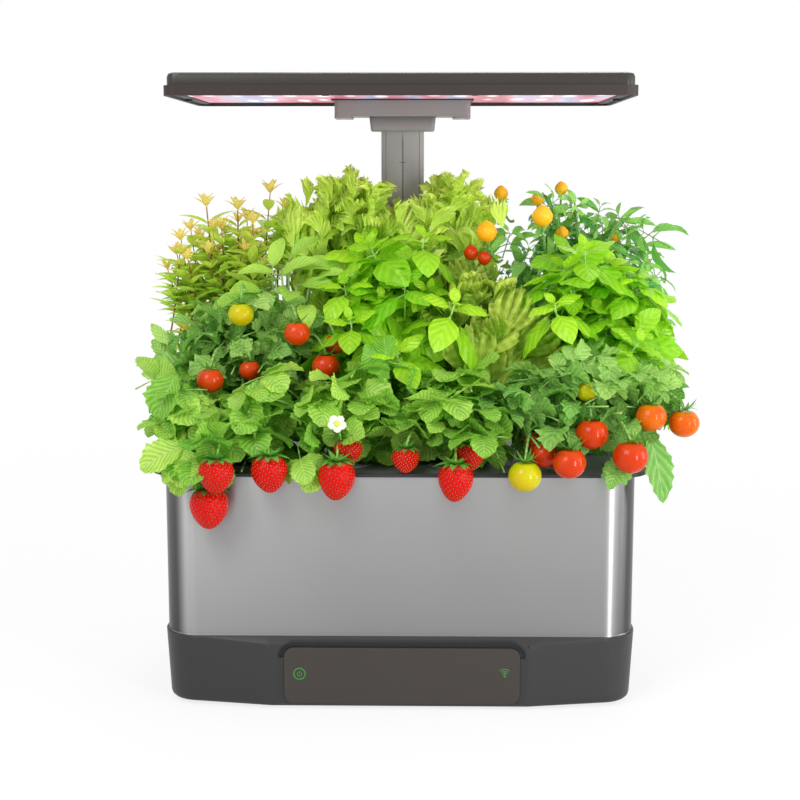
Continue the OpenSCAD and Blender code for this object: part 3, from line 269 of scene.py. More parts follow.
def brushed(name, colour, roughness=0.36, line_mm=0.7):
    """Brushed stainless steel: fine lines along the band that stretch highlights upright. Painted shade darkens its
    bends and, more gently, its lower part, and a painted highlight brightens its foot."""
    material, tree, shader = principled(
        name, colour, roughness, Metallic=1, Anisotropic=0.9, Anisotropic_Rotation=0.25
    )
    place = add(tree, "TexCoord")
    stretch = add(tree, "Mapping", place, Scale=(6, 6, 1 / (line_mm * MM)))
    lines = add(tree, "TexNoise", stretch, Scale=1, Detail=4, Roughness=0.7)
    cloud = add(tree, "TexNoise", place, Scale=7, Detail=2)
    streak = add(tree, "Math MULTIPLY_ADD", lines, 0.6, cloud)
    x, y, z = add(tree, "SeparateXYZ", place).outputs
    # The painted shade lies on the bends, outside both of these places, and above the painted highlight at the band's
    # foot
    bend_shade = above = add(tree, "MapRange", z, span=(*FOOT_HIGHLIGHT_Z, 0, 1))
    for axis, bend in ((x, BEND_SHADE_X), (y, BEND_SHADE_Y)):
        outside = add(tree, "MapRange SMOOTHSTEP", add(tree, "Math ABSOLUTE", axis), span=(*bend, 0, 1))
        bend_shade = add(tree, "Math MULTIPLY", bend_shade, outside)
    tone = add(tree, "MapRange", streak, span=(0.4, 1.2, 0.93, 1.05))
    # Painted shade towards the bottom, the painted highlight at the foot, and the painted shade on the bends
    for value, span in ((z, (0.066, 0.211, 0.72, 1.05)), (above, (0, 1, 1.6, 1)), (bend_shade, (0, 1, 1, 0.26))):
        tone = add(tree, "Math MULTIPLY", tone, add(tree, "MapRange", value, span=span))
    fit(
        shader,
        Base_Color=add(tree, "Mix MULTIPLY", 1, A=colour, B=tone),
        Roughness=add(tree, "MapRange", lines, span=(0, 1, roughness - 0.05, roughness + 0.08)),
        Normal=add(tree, "Bump", Strength=0.25, Distance=0.02 * MM, Height=lines),
        Tangent=add(tree, "Tangent", direction_type="RADIAL", axis="Z"),
    )
    return material


def leaf_finish(
    name, young, grown, vein, side_veins=6, slope=2.2, gloss=0.42, through=0.35, quilt=1.0, veined=0.55, pleat_shade=0.0
):
    """A living leaf: waxy skin with a paler midrib and side veins, light that shines through the blade.
    Painted shade darkens the fields between the side veins, and a painted highlight brightens the blade beside them, as
    on a pleated leaf."""
    material, tree, shader = principled(name, linear(grown), gloss, IOR=1.42)
    x, y, _ = add(tree, "SeparateXYZ", add(tree, "UVMap", uv_map="UVMap")).outputs
    side = add(tree, "Math ABSOLUTE", add(tree, "Math SUBTRACT", x, 0.5))
    rib = add(tree, "MapRange SMOOTHSTEP", side, span=(0.038, 0.01, 0, 1))
    climb = add(tree, "Math MULTIPLY", side, -slope)
    phase = add(tree, "Math FRACT", add(tree, "Math MULTIPLY_ADD", y, side_veins, climb))
    close = add(tree, "Math ABSOLUTE", add(tree, "Math SUBTRACT", phase, 0.5))
    rays = add(tree, "MapRange SMOOTHSTEP", close, span=(0.43, 0.495, 0, 1))
    vein_share = add(tree, "Math MULTIPLY", add(tree, "Math MAXIMUM", rib, rays), veined)
    mottle = add(tree, "TexNoise", add(tree, "TexCoord"), Scale=180, Detail=4, Roughness=0.65)
    shade = add(tree, "Attribute", attribute_name="shade")
    blend = add(tree, "MapRange", mottle, span=(0.25, 0.75, -0.14, 0.14))
    age = add(tree, "Math ADD", shade, blend, use_clamp=True)
    body = add(tree, "Mix", age, A=linear(grown), B=linear(young))
    # Painted shade between the side veins and a painted highlight beside them stand for the folds of a pleat
    painted_pleat_light = add(tree, "MapRange", close, span=(0, 0.45, 1 - pleat_shade, 1 + 0.4 * pleat_shade))
    pleat_painted = add(tree, "Mix MULTIPLY", 1, A=body, B=painted_pleat_light)
    painted = add(tree, "Mix", vein_share, A=pleat_painted, B=linear(vein))
    pillow = add(tree, "Math MULTIPLY", close, -quilt)
    fine = add(tree, "Math MULTIPLY_ADD", mottle, 0.5, pillow)
    fit(shader, Base_Color=painted, Normal=add(tree, "Bump", Strength=0.7, Distance=1.2 * MM, Height=fine))
    mixed = add(tree, "MixShader", through, shader, add(tree, "BsdfTranslucent", painted))
    fit(tree.nodes["Material Output"], mixed)
    return material


def stem_finish(name, hex_colour):
    """A living stem: smooth green skin with faint mottling."""
    material, tree, shader = principled(name, linear(hex_colour), 0.5, Subsurface_Weight=0.1)
    mottle = add(tree, "TexNoise", add(tree, "TexCoord"), Scale=220, Detail=3)
    tone = add(tree, "MapRange", mottle, span=(0, 1, 0.75, 1.25))
    fit(shader, Base_Color=add(tree, "Mix MULTIPLY", 1, A=linear(hex_colour), B=tone))
    return material


def skin_finish(name, ripe, unripe, roughness=0.22, shine=0.2):
    """Smooth fruit skin: a thin waxy gloss over colour that runs to the unripe tone round the stalk."""
    material, tree, shader = principled(
        name, ripe, roughness, Specular_IOR_Level=shine, Subsurface_Weight=0.06,
        Subsurface_Radius=(1.0, 0.3, 0.1), Subsurface_Scale=3 * MM,
    )
    mottle = add(tree, "TexNoise", add(tree, "TexCoord"), Scale=60, Detail=3)
    ripeness = add(tree, "Attribute", attribute_name="shade")
    cloud = add(tree, "MapRange", mottle, span=(0.3, 0.7, -0.125, 0.125))
    share = add(tree, "Math ADD", ripeness, cloud, use_clamp=True)
    colour = add(tree, "Mix", share, A=ripe, B=linear(unripe))
    # A share below nothing marks a pit, into whose skin shade is painted
    pit = add(tree, "MapRange", ripeness, span=(-0.5, -0.05, 0.45, 1))
    fit(shader, Base_Color=add(tree, "Mix MULTIPLY", 1, A=colour, B=pit))
    return material


def lens_finish(name, glow):
    """Opal polycarbonate lit from behind: soft patches of pink, rose and violet, and a bright spot over each diode."""
    material, tree, shader = principled(name, linear("#3a3538"), 0.35, Emission_Strength=0.9)
    place = add(tree, "TexCoord")
    # Patches about 40 mm wide, and a spot every 26 mm, drawn out because the rows lie close behind the lens
    cloud = add(tree, "TexNoise", add(tree, "Mapping", place, Scale=(1, 0.12, 1)), Scale=1 / (40 * MM), Detail=0)
    stops = [
        (0.3, linear("#b9485f")), (0.4, glow), (0.47, linear("#d7a4ba")), (0.53, linear("#bfb4cc")),
        (0.6, linear("#9ba6d2")), (0.67, linear("#cf8fab")), (0.75, linear("#bb4f6c")),
    ]
    patch = add(tree, "ValToRGB", cloud, stops=stops)
    rows = add(tree, "Mapping", place, Scale=(1, 0.3, 1))
    spots = add(tree, "TexVoronoi", rows, Scale=1 / (26 * MM), Randomness=0.3)
    spot = add(tree, "MapRange SMOOTHSTEP", spots, span=(0.34, 0.16, 0, 1))
    fit(shader, Emission_Color=add(tree, "Mix", spot, A=patch, B=(1, 1, 1, 1)))
    return material


# ---- Building helpers ----


def new_piece(name, bm, materials, body, replaces=(), smooth=None):
    """Makes a mesh object of bm at the origin that rides on a body. Edges sharper than smooth degrees stay crisp."""
    mesh = bpy.data.meshes.new(name)
    if smooth is not None:
        for face in bm.faces:
            face.smooth = True
        for edge in bm.edges:
            edge.smooth = len(edge.link_faces) == 2 and edge.calc_face_angle(0.0) < radians(smooth)
    bm.to_mesh(mesh)
    bm.free()
    for material in materials:
        mesh.materials.append(material)
    piece = bpy.data.objects.new(name, mesh)
    bpy.context.scene.collection.objects.link(piece)
    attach(piece, body)
    if replaces:
        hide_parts(*replaces)
    return piece


def cut(bm, geometry, axis, place, gap):
    """Parts some geometry of a mesh by a plane across an axis."""
    way = Vector()
    way[axis] = 1
    bmesh.ops.bisect_plane(bm, geom=geometry, dist=gap, plane_co=way * place, plane_no=way)


def dress(node, material, edge, front=None, cuts=()):
    """Replaces a rigid CAD node by its own joined copy, whose flat areas are whole, with smooth curves and rounded
    edges. A front in front of the given Y is cut into small fields, so that its bow shades evenly.
    Cuts are an axis and a place each: they part a flat ring into fields that fill cleanly."""
    bm = bmesh.new()
    bm.from_mesh(frame["nodes"][node].data)
    bmesh.ops.remove_doubles(bm, verts=bm.verts, dist=1e-6)
    bmesh.ops.dissolve_limit(
        bm, angle_limit=radians(0.4), use_dissolve_boundaries=False, verts=bm.verts, edges=bm.edges, delimit={"NORMAL"}
    )
    for axis, place in cuts:
        cut(bm, [*bm.verts, *bm.edges, *bm.faces], axis, place, 1e-6)
    if front is not None:
        for axis, step, first, last in ((0, 0.009, -25, 25), (2, 0.006, 0, 11)):
            for i in range(first, last + 1):
                faces = [f for f in bm.faces if f.calc_center_median().y < front]
                geometry = {*faces, *(e for f in faces for e in f.edges), *(v for f in faces for v in f.verts)}
                cut(bm, list(geometry), axis, i * step + 0.0003, 1e-5)
    piece = new_piece(node + "_skin", bm, [material], BODY_OF[node], [node], 32)
    bevel = piece.modifiers.new("Rounded edges", "BEVEL")
    bevel.width = edge
    bevel.segments = 2
    bevel.limit_method = "ANGLE"
    bevel.angle_limit = radians(40)
    bevel.harden_normals = True


def paint(material, *nodes):
    """Gives CAD nodes that keep their shape their material."""
    for node in nodes:
        piece = frame["nodes"][node]
        if not piece.material_slots:
            piece.data.materials.append(material)
        for place in piece.material_slots:
            place.material = material


def islands(node):
    """The separate solids of a CAD node as (lowest corner, highest corner)."""
    bm = bmesh.new()
    bm.from_mesh(frame["nodes"][node].data)
    bmesh.ops.remove_doubles(bm, verts=bm.verts, dist=1e-5)
    left, found = set(bm.verts), []
    while left:
        seed = left.pop()
        queue, group = [seed], [seed]
        while queue:
            for edge in queue.pop().link_edges:
                for vert in edge.verts:
                    if vert in left:
                        left.discard(vert)
                        queue.append(vert)
                        group.append(vert)
        found.append([Vector(end(v.co[i] for v in group) for i in range(3)) for end in (min, max)])
    bm.free()
    return sorted(found, key=lambda box: tuple(round(c, 4) for c in box[0]))


def middle_and_radius(*nodes):
    """Centre and radius of every solid of some fruit nodes."""
    return [((low + high) / 2, (high.x - low.x) / 2) for node in nodes for low, high in islands(node)]


def round_off(verts, material=0):
    """Shades the faces round some vertices smooth and gives them a material."""
    for face in {f for v in verts for f in v.link_faces}:
        face.smooth, face.material_index = True, material


def tube(bm, points, start, end, sides=6, material=1):
    """A round stem through points that tapers from radius start to radius end."""
    count = len(points) - 1
    for i, (a, b) in enumerate(zip(points, points[1:])):
        step = b - a
        if step.length < 1e-6:
            continue
        low = start + (end - start) * i / count
        made = bmesh.ops.create_cone(
            bm,
            cap_ends=True,
            segments=sides,
            radius1=low,
            radius2=start + (end - start) * (i + 1) / count,
            depth=step.length + 0.4 * low,
            matrix=Matrix.Translation((a + b) / 2) @ facing_along(step),
        )
        round_off(made["verts"], material)


def facing_along(way):
    """The turn that takes +Z to a direction."""
    return way.to_track_quat("Z", "Y").to_matrix().to_4x4()


def bent(a, b, sag, steps=6):
    """Points of a smooth arc from a to b whose middle is moved by sag."""
    mid = (a + b) / 2 + sag
    return [a * (1 - t) ** 2 + mid * (2 * t * (1 - t)) + b * t * t for t in (i / steps for i in range(steps + 1))]


def turned(degrees, axis):
    return Matrix.Rotation(radians(degrees), 4, axis)


# ---- Leaves ----


def shaded_mesh():
    """An empty mesh with the layers that leaves and fruit have."""
    bm = bmesh.new()
    bm.verts.layers.float.new("shade")
    bm.loops.layers.uv.new("UVMap")
    return bm


def curled(x, y, lift, droop):
    """Where a point of a flat leaf comes to lie when the leaf droops along an arc."""
    angle = droop * y
    return Vector((x, sin(angle) / droop + lift * sin(angle), -(1 - cos(angle)) / droop + lift * cos(angle)))


def blade(
    rows, columns, width, peak=0.75, fullness=0.8, fold=0.25, droop=0.5,
    wave=0.0, waves=3, teeth=0.0, lobes=0.0, phase=0.0,
):
    """A leaf blade of unit length from the origin along +Y, face up, shaped from a grid."""
    bm = shaded_mesh()
    bmesh.ops.create_grid(bm, x_segments=columns, y_segments=rows, size=0.5, calc_uvs=True)
    for vert in bm.verts:
        t, s = vert.co.y + 0.5, vert.co.x * 2
        row = round(t * rows)
        half = width / 2 * max(sin(pi * min(max(t, 0.0), 1.0) ** peak), 0.0) ** fullness
        if abs(s) > 0.99 and 0 < row < rows:
            half *= 1 + (teeth if row % 2 else -teeth * 0.6)
            t += (0.5 * teeth / rows) if row % 2 else 0.0
        half *= 1 + lobes * sin(t * pi * 7 + phase) * abs(s)
        ripple = sin(waves * 2 * pi * t + phase + (1.3 if s > 0 else 0))
        vert.co = curled(s * half, t, fold * abs(s * half) + wave * abs(s) ** 2 * half * ripple, droop)
    bmesh.ops.remove_doubles(bm, verts=bm.verts, dist=1e-4)
    round_off(bm.verts)
    return bm


def frill(columns, rows, spread, ruffle, waves, droop, phase, jag):
    """A frilled leaf of unit length: a narrow rib that fans out into a ruffled, jagged margin."""
    bm = shaded_mesh()
    shade = bm.verts.layers.float["shade"]
    bmesh.ops.create_grid(bm, x_segments=columns, y_segments=rows, size=0.5, calc_uvs=True)
    for vert in bm.verts:
        t, s = vert.co.y + 0.5, vert.co.x * 2
        vert[shade] = 0.6 * t * t - 0.15
        half = 0.05 + spread / 2 * t**1.2 * (1 - 0.3 * t**5)
        reach = t * (1 - 0.3 * s * s)
        if t > 0.99 or abs(s) > 0.99:
            reach += jag * (1 if round((s + t) * columns / 2) % 2 else -0.6) * t
        ripple = sin(waves * pi * s + phase) + 0.4 * sin(2.6 * waves * pi * s + 2 * phase + 3 * t)
        edge_ripple = sin(3 * waves * pi * t + phase)
        vert.co = curled(s * half, reach, ruffle * t * (t * ripple + s**4 * edge_ripple), droop)
    round_off(bm.verts)
    return bm


def as_mesh(bm):
    """A leaf that is ready to be copied."""
    mesh = bpy.data.meshes.new("leaf")
    bm.to_mesh(mesh)
    bm.free()
    return mesh


def add_part(bm, template, matrix, shade=0.0):
    """Adds a copy of a leaf under a transform, with its shade raised."""
    part = template.copy()
    part.transform(matrix)
    held = [0.0] * len(part.vertices)
    part.attributes["shade"].data.foreach_get("value", held)
    part.attributes["shade"].data.foreach_set("value", [value + shade for value in held])
    bm.from_mesh(part)
    bpy.data.meshes.remove(part)


def stalked(bm, petiole, thick=0.02):
    """Moves a blade out on a petiole whose start is the origin, and scales the whole to unit length."""
    bmesh.ops.translate(bm, verts=bm.verts, vec=(0, petiole, 0))
    tube(bm, [Vector((0, 0, 0)), Vector((0, petiole + 0.05, 0))], thick, thick * 0.7, 4)
    bmesh.ops.scale(bm, verts=bm.verts, vec=(1 / (1 + petiole),) * 3)
    return as_mesh(bm)


def compound(leaflet, places, rachis, thick=0.014):
    """A leaf of several leaflets on one rachis: places holds (distance along, turn in degrees, size, reach aside)."""
    bm = shaded_mesh()
    for along, turn, size, side in places:
        pose = Matrix.Translation((side, along, 0.0)) @ turned(turn, "Z") @ turned(-12 if turn else 0, "X")
        add_part(bm, leaflet, pose @ Matrix.Scale(size, 4))
    tube(bm, [Vector((0, 0, 0)), Vector((0, rachis * 0.5, 0.01)), Vector((0, rachis, 0))], thick, thick * 0.5, 4)
    return bm


def whorl(leaf, spread=0.24, low=-12, high=62, small=0.3):
    """The top of a shoot along +Z: four crossed pairs of leaves that get smaller and steeper towards the bud."""
    bm = shaded_mesh()
    for k in range(4):
        share = k / 3
        for side in (0, 180):
            pose = Matrix.Translation((0, 0, spread * share)) @ turned(side + 90 * (k % 2) + 11 * k, "Z")
            pose = pose @ turned(low + (high - low) * share, "X") @ Matrix.Scale(1 - (1 - small) * share, 4)
            add_part(bm, leaf, pose, 0.35 * share)
    tube(bm, [Vector((0, 0, -0.45)), Vector((0, 0, spread))], 0.016, 0.016 * 0.7, 4)
    return bm


def sprig(leaf, lean):
    """An upright stem along +Z with opposite narrow leaves and a tuft of young leaves at its tip."""
    bm = shaded_mesh()
    tube(bm, [Vector((lean * (i / 6) ** 2, 0, i / 6)) for i in range(7)], 0.014, 0.007, 4)
    for k in range(6):
        t = 0.3 + 0.62 * k / 6
        for side in (0, 180):
            pose = Matrix.Translation((lean * t * t, 0, t)) @ turned(side + 80 * k, "Z") @ turned(22 + 16 * t, "X")
            add_part(bm, leaf, pose @ Matrix.Scale(0.46 - 0.14 * t, 4), 0.3 * t**3)
    for k in range(6):
        pose = Matrix.Translation((lean, 0, 1)) @ turned(360 * k / 6, "Z") @ turned(52 + 18 * (k % 2), "X")
        add_part(bm, leaf, pose @ Matrix.Scale(0.19, 4), 0.9)
    return bm


def within(point, low, high):
    return all(low[i] < point[i] < high[i] for i in range(3))


def sweeps_through(template, pose, foot, size):
    """True if a leaf would stand where the flap swings open or the float's rod rises."""
    return any(
        (foot - (low + high) / 2).length < 2 * size + 0.04
        and any(within(pose @ vert.co, low, high) for vert in template.vertices)
        for low, high in SWEPT
    )


def put_leaf(bm, template, foot, tip, up, size, shade, rng):
    """Adds a copy of a leaf that starts at foot, points along tip and faces up."""
    forward = tip.normalized()
    right = forward.cross(up)
    if right.length < 1e-4:
        right = forward.cross(Vector((1, 0, 0)))
    right.normalize()
    turn = Matrix((right, forward, right.cross(forward))).transposed().to_4x4()
    pose = Matrix.Translation(foot) @ turn @ Matrix.Diagonal((size * rng.uniform(0.88, 1.12), size, size, 1))
    if not sweeps_through(template, pose, foot, size):
        add_part(bm, template, pose, shade)


def set_leaf(bm, template, foot, tip, facing, size, shade, rng):
    """One leaf given by its foot and tip in millimetres."""
    foot, tip = Vector(foot) * MM, Vector(tip) * MM
    put_leaf(bm, template, foot, tip - foot, Vector(facing), size * MM, shade, rng)


def blocked(points):
    """True if a leaf would stand where something else is or moves."""
    return any(within(point, low, high) for point in points for low, high in KEEP_OUT)


def meets_fruit(points, fruit, front):
    """True if a leaf would touch a fruit or hang in front of it."""
    for centre, radius in fruit:
        sight = (centre - EYE).normalized()
        for point in points:
            gap = point - centre
            if gap.length < radius + 1.5 * MM:
                return True
            depth = gap.dot(sight)
            if depth < 0 and (gap - sight * depth).length < radius * front:
                return True
    return False


def surface_points(node, count, rng):
    """Points spread evenly over a CAD solid, with their outward directions."""
    mesh = frame["nodes"][node].data
    faces = [(p.area, p.normal.copy(), [mesh.vertices[i].co.copy() for i in p.vertices]) for p in mesh.polygons]
    step = sum(face[0] for face in faces) / count
    points, passed, goal = [], 0.0, rng.uniform(0, step)
    for area, normal, corners in faces:
        while passed + area > goal:
            a, b = rng.random(), rng.random()
            if a + b > 1:
                a, b = 1 - a, 1 - b
            point = corners[0] + (corners[1] - corners[0]) * a + (corners[2] - corners[0]) * b
            points.append((point, normal))
            goal += step
        passed += area
    rng.shuffle(points)
    return points


def scatter(rng, reach):
    return Vector([rng.uniform(-reach, reach) for _ in range(3)])


def foliage(node, templates, count, length, crowns, rng, fruit, style):
    """Covers a plant's solid with leaves. A style has out and up, the shares of outwards and up in a leaf's facing,
    lift, the rise of its tip, and depth, that of the layers. Rise and shrink change the tip and the size with
    height, tone the shade, and rows are the limits in Y. Shoots, which stand upright, have sunk, height and reach."""
    style = {"rise": 0.0, "shrink": 0.2, "tone": 1.0, "reach": 1.0, "rows": (-1, 1), **style}
    bm = shaded_mesh()
    low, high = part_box(node)
    placed = 0
    for point, normal in surface_points(node, int(count * 1.5), rng):
        if placed >= count:
            break
        if not style["rows"][0] < point.y < style["rows"][1]:
            continue
        crown = Vector(min(crowns, key=lambda crown: (Vector(crown).xy - point.xy).length))
        outward = Vector((point.x - crown.x, point.y - crown.y, 0))
        outward = outward.normalized() if outward.length > 1e-4 else Vector((0, -1, 0))
        outward = outward * 0.6 + Vector((normal.x, normal.y, 0)) * 0.8
        if normal.z < -0.55 or outward.length < 1e-3:
            continue
        outward.normalize()
        height = (point.z - low.z) / (high.z - low.z)
        size = length * rng.uniform(0.72, 1.18) * (1 - style["shrink"] * height)
        lift = style["lift"] + rng.uniform(-0.35, 0.35) + style["rise"] * height
        tip = outward + Vector((rng.uniform(-0.7, 0.7), rng.uniform(-0.7, 0.7), lift))
        tip.normalize()
        facing = (normal * style["out"] + UP * style["up"] + scatter(rng, 0.35)).normalized()
        depth = rng.random() ** 1.5 * style["depth"]
        if "sunk" in style:
            # A shoot stands along its facing, with its leaves all round
            tip = facing.cross(scatter(rng, 1)).normalized()
            foot = point - facing * size * style["sunk"] - normal * depth
            side = tip.cross(facing)
            tests = [foot + (way * 0.8 + facing * 0.1) * size * style["reach"] for way in (tip, -tip, side, -side)]
            tests.append(foot + facing * size * style["height"])
        else:
            foot = point - tip * size * (0.62 + 0.5 * depth / length) - normal * depth
            tests = [foot + tip * size * share for share in (0.35, 0.7, 1.0)]
        if blocked(tests) or meets_fruit(tests, fruit, 1.2):
            continue
        if any(not (CAD_BOX[0][i] - 0.008 < test[i] < CAD_BOX[1][i] + 0.008) for test in tests for i in range(3)):
            continue
        shade = 0.25 + 0.5 * height * rng.uniform(0.4, 1.3) + rng.uniform(-0.2, 0.2) - depth / style["depth"] * 0.25
        shade = min(1.0, max(0.0, shade)) * style["tone"]
        put_leaf(bm, rng.choice(templates), foot, tip, facing, size, shade, rng)
        placed += 1
    return bm


def templates_of(make, variants=5):
    return [as_mesh(make(k)) for k in range(variants)]


def strawberry_blade(k):
    fold, droop = 0.2 + 0.1 * (k % 3), 0.4 + 0.2 * k
    return as_mesh(blade(14, 4, 0.8, 1.15, 0.62, fold, droop, teeth=0.1, wave=0.08, phase=k))


def strawberry_leaf(k):
    places = [(0.42, 0, 0.58, 0), (0.42, 68, 0.52, -0.01), (0.42, -68, 0.52, 0.01)]
    return compound(strawberry_blade(k), places, 0.46)


def tomato_leaf(k):
    leaflet = as_mesh(blade(10, 4, 0.72, 0.8, 0.75, 0.3, 0.5 + 0.2 * k, teeth=0.16, lobes=0.12, wave=0.14, phase=k))
    places = [(0.68, 0, 0.38, 0)]
    for along, size in ((0.62, 0.3), (0.4, 0.34), (0.24, 0.2)):
        places += [(along, 58, size, -0.005), (along, -58, size, 0.005)]
    return compound(leaflet, places, 0.74, 0.011)


def basil_leaf(k):
    leaf = blade(8, 4, 0.62, 0.82, 0.75, -0.16, 0.5 + 0.2 * k, wave=0.08, waves=2.5, phase=k)
    return whorl(stalked(leaf, 0.14), low=-18 + 8 * (k % 3))


def lettuce_leaf(k):
    return frill(20, 3, 0.95, 0.15, 4 + 0.5 * (k % 2), 1.0 + 0.3 * k, k * 1.3, 0.2)


def ruffled_leaf(k):
    return frill(30, 8, 1.1, 0.13, 5 + 0.5 * (k % 2), 1.1 + 0.25 * k, k * 1.7, 0.05)


def pepper_leaf(k):
    leaf = blade(6, 2, 0.34, 0.82, 0.85, 0.3, 0.6 + 0.25 * k, wave=0.05, waves=2, phase=k)
    return whorl(stalked(leaf, 0.16), 0.35, -25 + 10 * (k % 3), 45, 0.45)


def crowns(columns, row):
    """Crowns of the pods in the given columns and row."""
    return [((column - 1.5) * 0.096, -0.065 + row * 0.055, 0.2169) for column in columns]


def edge_leaves(bm, templates, x, stop, step, size, fruit, rng, bare=()):
    """Leaves that lean out over the rim's front edge, apart from the bare stretches."""
    while x < stop:
        x += step * rng.uniform(0.7, 1.3)
        if any(low < x < high for low, high in bare):
            continue
        foot = Vector((x, -0.1 + rng.uniform(-0.006, 0.006), 0.2265 + rng.uniform(0, 0.012)))
        tip = Vector((rng.uniform(-0.5, 0.5), -1, rng.uniform(-0.55, 0.1))).normalized()
        length = size * rng.uniform(0.75, 1.15)
        tests = [foot + tip * length * share for share in (0.4, 0.7, 1.0)]
        if meets_fruit(tests, fruit, 1.35) or blocked(tests):
            continue
        facing = Vector((rng.uniform(-0.3, 0.3), -0.75, 0.65))
        put_leaf(bm, rng.choice(templates), foot, tip, facing, length, rng.uniform(0.1, 0.7), rng)


def plant_stems(bm, places, node, rng):
    """Six branching stems from each crown into its foliage."""
    targets = surface_points(node, 36 * len(places), rng)
    for crown in places:
        crown = Vector(crown)
        near = [p for p, n in targets if (p.xy - crown.xy).length < 0.09 and p.z > crown.z + 0.03]
        for goal in near[:6]:
            top = crown.lerp(goal, 0.86)
            points = bent(crown - UP * 0.006, top, UP * (0.25 * (top - crown).length))
            if not blocked(points[2:]):
                tube(bm, points, 0.0024, 0.0012)


def stalks(bm, fruit, places, hanging):
    """Thin curved stalks between the fruit and its plant: over a hanging fruit, and under an upright one."""
    side, rise = (1, 0.012) if hanging else (-1, -0.02)
    for centre, radius in fruit:
        crown = min((Vector(c) for c in places), key=lambda c: (c - centre).length)
        end = centre + Vector((0, 0.002, radius * 0.92 * side))
        height = max(end.z + rise, crown.z + 0.03)
        foot = Vector((end.x * 0.75 + crown.x * 0.25, end.y * 0.35 + crown.y * 0.65, height))
        tube(bm, bent(foot, end, Vector((0, -0.004, 0.004 + rise)), 8), 0.0011 * 1.2, 0.0011)


def grow(name, node, slot, materials, templates, count, length, places, style, seed, extra, bearing=(), **options):
    """A whole plant: stems, leaves on its solid and stalks to its fruit, as one piece."""
    rng = random.Random(sizes().seed + seed)
    bm = foliage(node, templates, count, length, places, rng, fruit_places(), style)
    extra(bm, rng)
    plant_stems(bm, places, node, rng)
    if bearing:
        stalks(bm, bearing, places, options.get("hanging", True))
    new_piece(name, bm, materials, "deck", [node] if options.get("hides", True) else [])


# ---- Fruit ----


def fruit_places():
    return middle_and_radius("strawberries", "red_tomatoes", "ripening_tomatoes", "peppers")


def sepals(bm, top, count, length, width, droop, lift, rng):
    """A calyx of pointed curled leaves round the stalk."""
    template = as_mesh(blade(5, 2, width, 0.7, 0.9, 0.3, droop))
    turn = rng.uniform(0, 6.28)
    for i in range(count):
        angle = turn + 2 * pi * i / count + rng.uniform(-0.15, 0.15)
        out = Vector((cos(angle), sin(angle), lift))
        put_leaf(bm, template, top, out, UP, length * rng.uniform(0.85, 1.15), rng.uniform(0.2, 0.8), rng)
    bpy.data.meshes.remove(template)


def tomato(bm, centre, radius, shade, lobes=0, squash=0.93, point=0.0):
    """One round fruit with a dimple at its top, or an upright one that narrows to a blunt point."""
    made = bmesh.ops.create_uvsphere(bm, u_segments=32, v_segments=20, radius=1)
    layer = bm.verts.layers.float["shade"]
    for vert in made["verts"]:
        up = vert.co.z
        dip = 0.0 if point else exp(-((1 - up) / 0.09) ** 2) * 0.16
        swell = 1 + lobes * 0.012 * cos(lobes * atan2(vert.co.y, vert.co.x)) * (1 - abs(up))
        swell *= 1 - point * max(0.0, up) ** 1.5
        vert[layer] = shade + max(0.0, (-up if point else up) - 0.55) * 0.6
        vert.co = centre + Vector((vert.co.x * swell, vert.co.y * swell, up * squash - dip)) * radius
    round_off(made["verts"])


def strawberry(bm, seeds, low, high, rng):
    """One strawberry: a blunt cone with dimples in slanting rows, and a seed in each."""
    centre = (low + high) / 2
    radius, half = (high.x - low.x) / 2, (high.z - low.z) / 2
    made = bmesh.ops.create_uvsphere(bm, u_segments=120, v_segments=72, radius=1)

    def spot_at(x, y, z):
        """The point of the plain cone at a level, in a direction."""
        t = (1 - z) / 2
        wide = sin(pi * min(max(0.03 + 0.965 * t, 0.0), 1.0) ** 0.72) ** 0.5
        return Vector((x * wide * radius, y * wide * radius, z * half))

    lean = Vector((rng.uniform(-0.09, 0.12) * radius, 0, 0))
    turns = [(i, i * GOLDEN_ANGLE) for i in range(PITS)]
    pits = [spot_at(cos(angle), sin(angle), 0.86 - 1.8 * (i + 0.5) / PITS) for i, angle in turns]
    tree = KDTree(len(pits))
    for i, pit in enumerate(pits):
        tree.insert(pit, i)
    tree.balance()
    layer = bm.verts.layers.float["shade"]
    for vert in made["verts"]:
        z = vert.co.z
        flat = Vector((vert.co.x, vert.co.y, 0))
        flat = flat.normalized() if flat.length > 1e-6 else flat
        spot = spot_at(flat.x, flat.y, z)
        near = exp(-((tree.find(spot)[2] / PIT_WIDTH) ** 2))
        # Near a pit the share drops below nothing, which paints shade into the pit; near the stalk it rises to the
        # unripe tone
        vert[layer] = max(0.0, z - 0.78) * 1.5 - 0.6 * near
        vert.co = centre + spot - (flat * 0.9 + Vector((0, 0, z * 0.4))) * (0.001 * near) + lean * max(0.0, -z) ** 2
    round_off(made["verts"])
    for pit in pits:
        out = Vector((pit.x / radius, pit.y / radius, pit.z / half * 0.35)).normalized()
        place = Matrix.Translation(centre + pit - out * 0.0007 + lean * max(0.0, -pit.z / half) ** 2)
        shape = place @ facing_along(out) @ Matrix.Diagonal((0.00036, 0.00065, 0.00034, 1))
        bmesh.ops.create_icosphere(seeds, subdivisions=1, radius=1, matrix=shape)


# ---- Operators ----


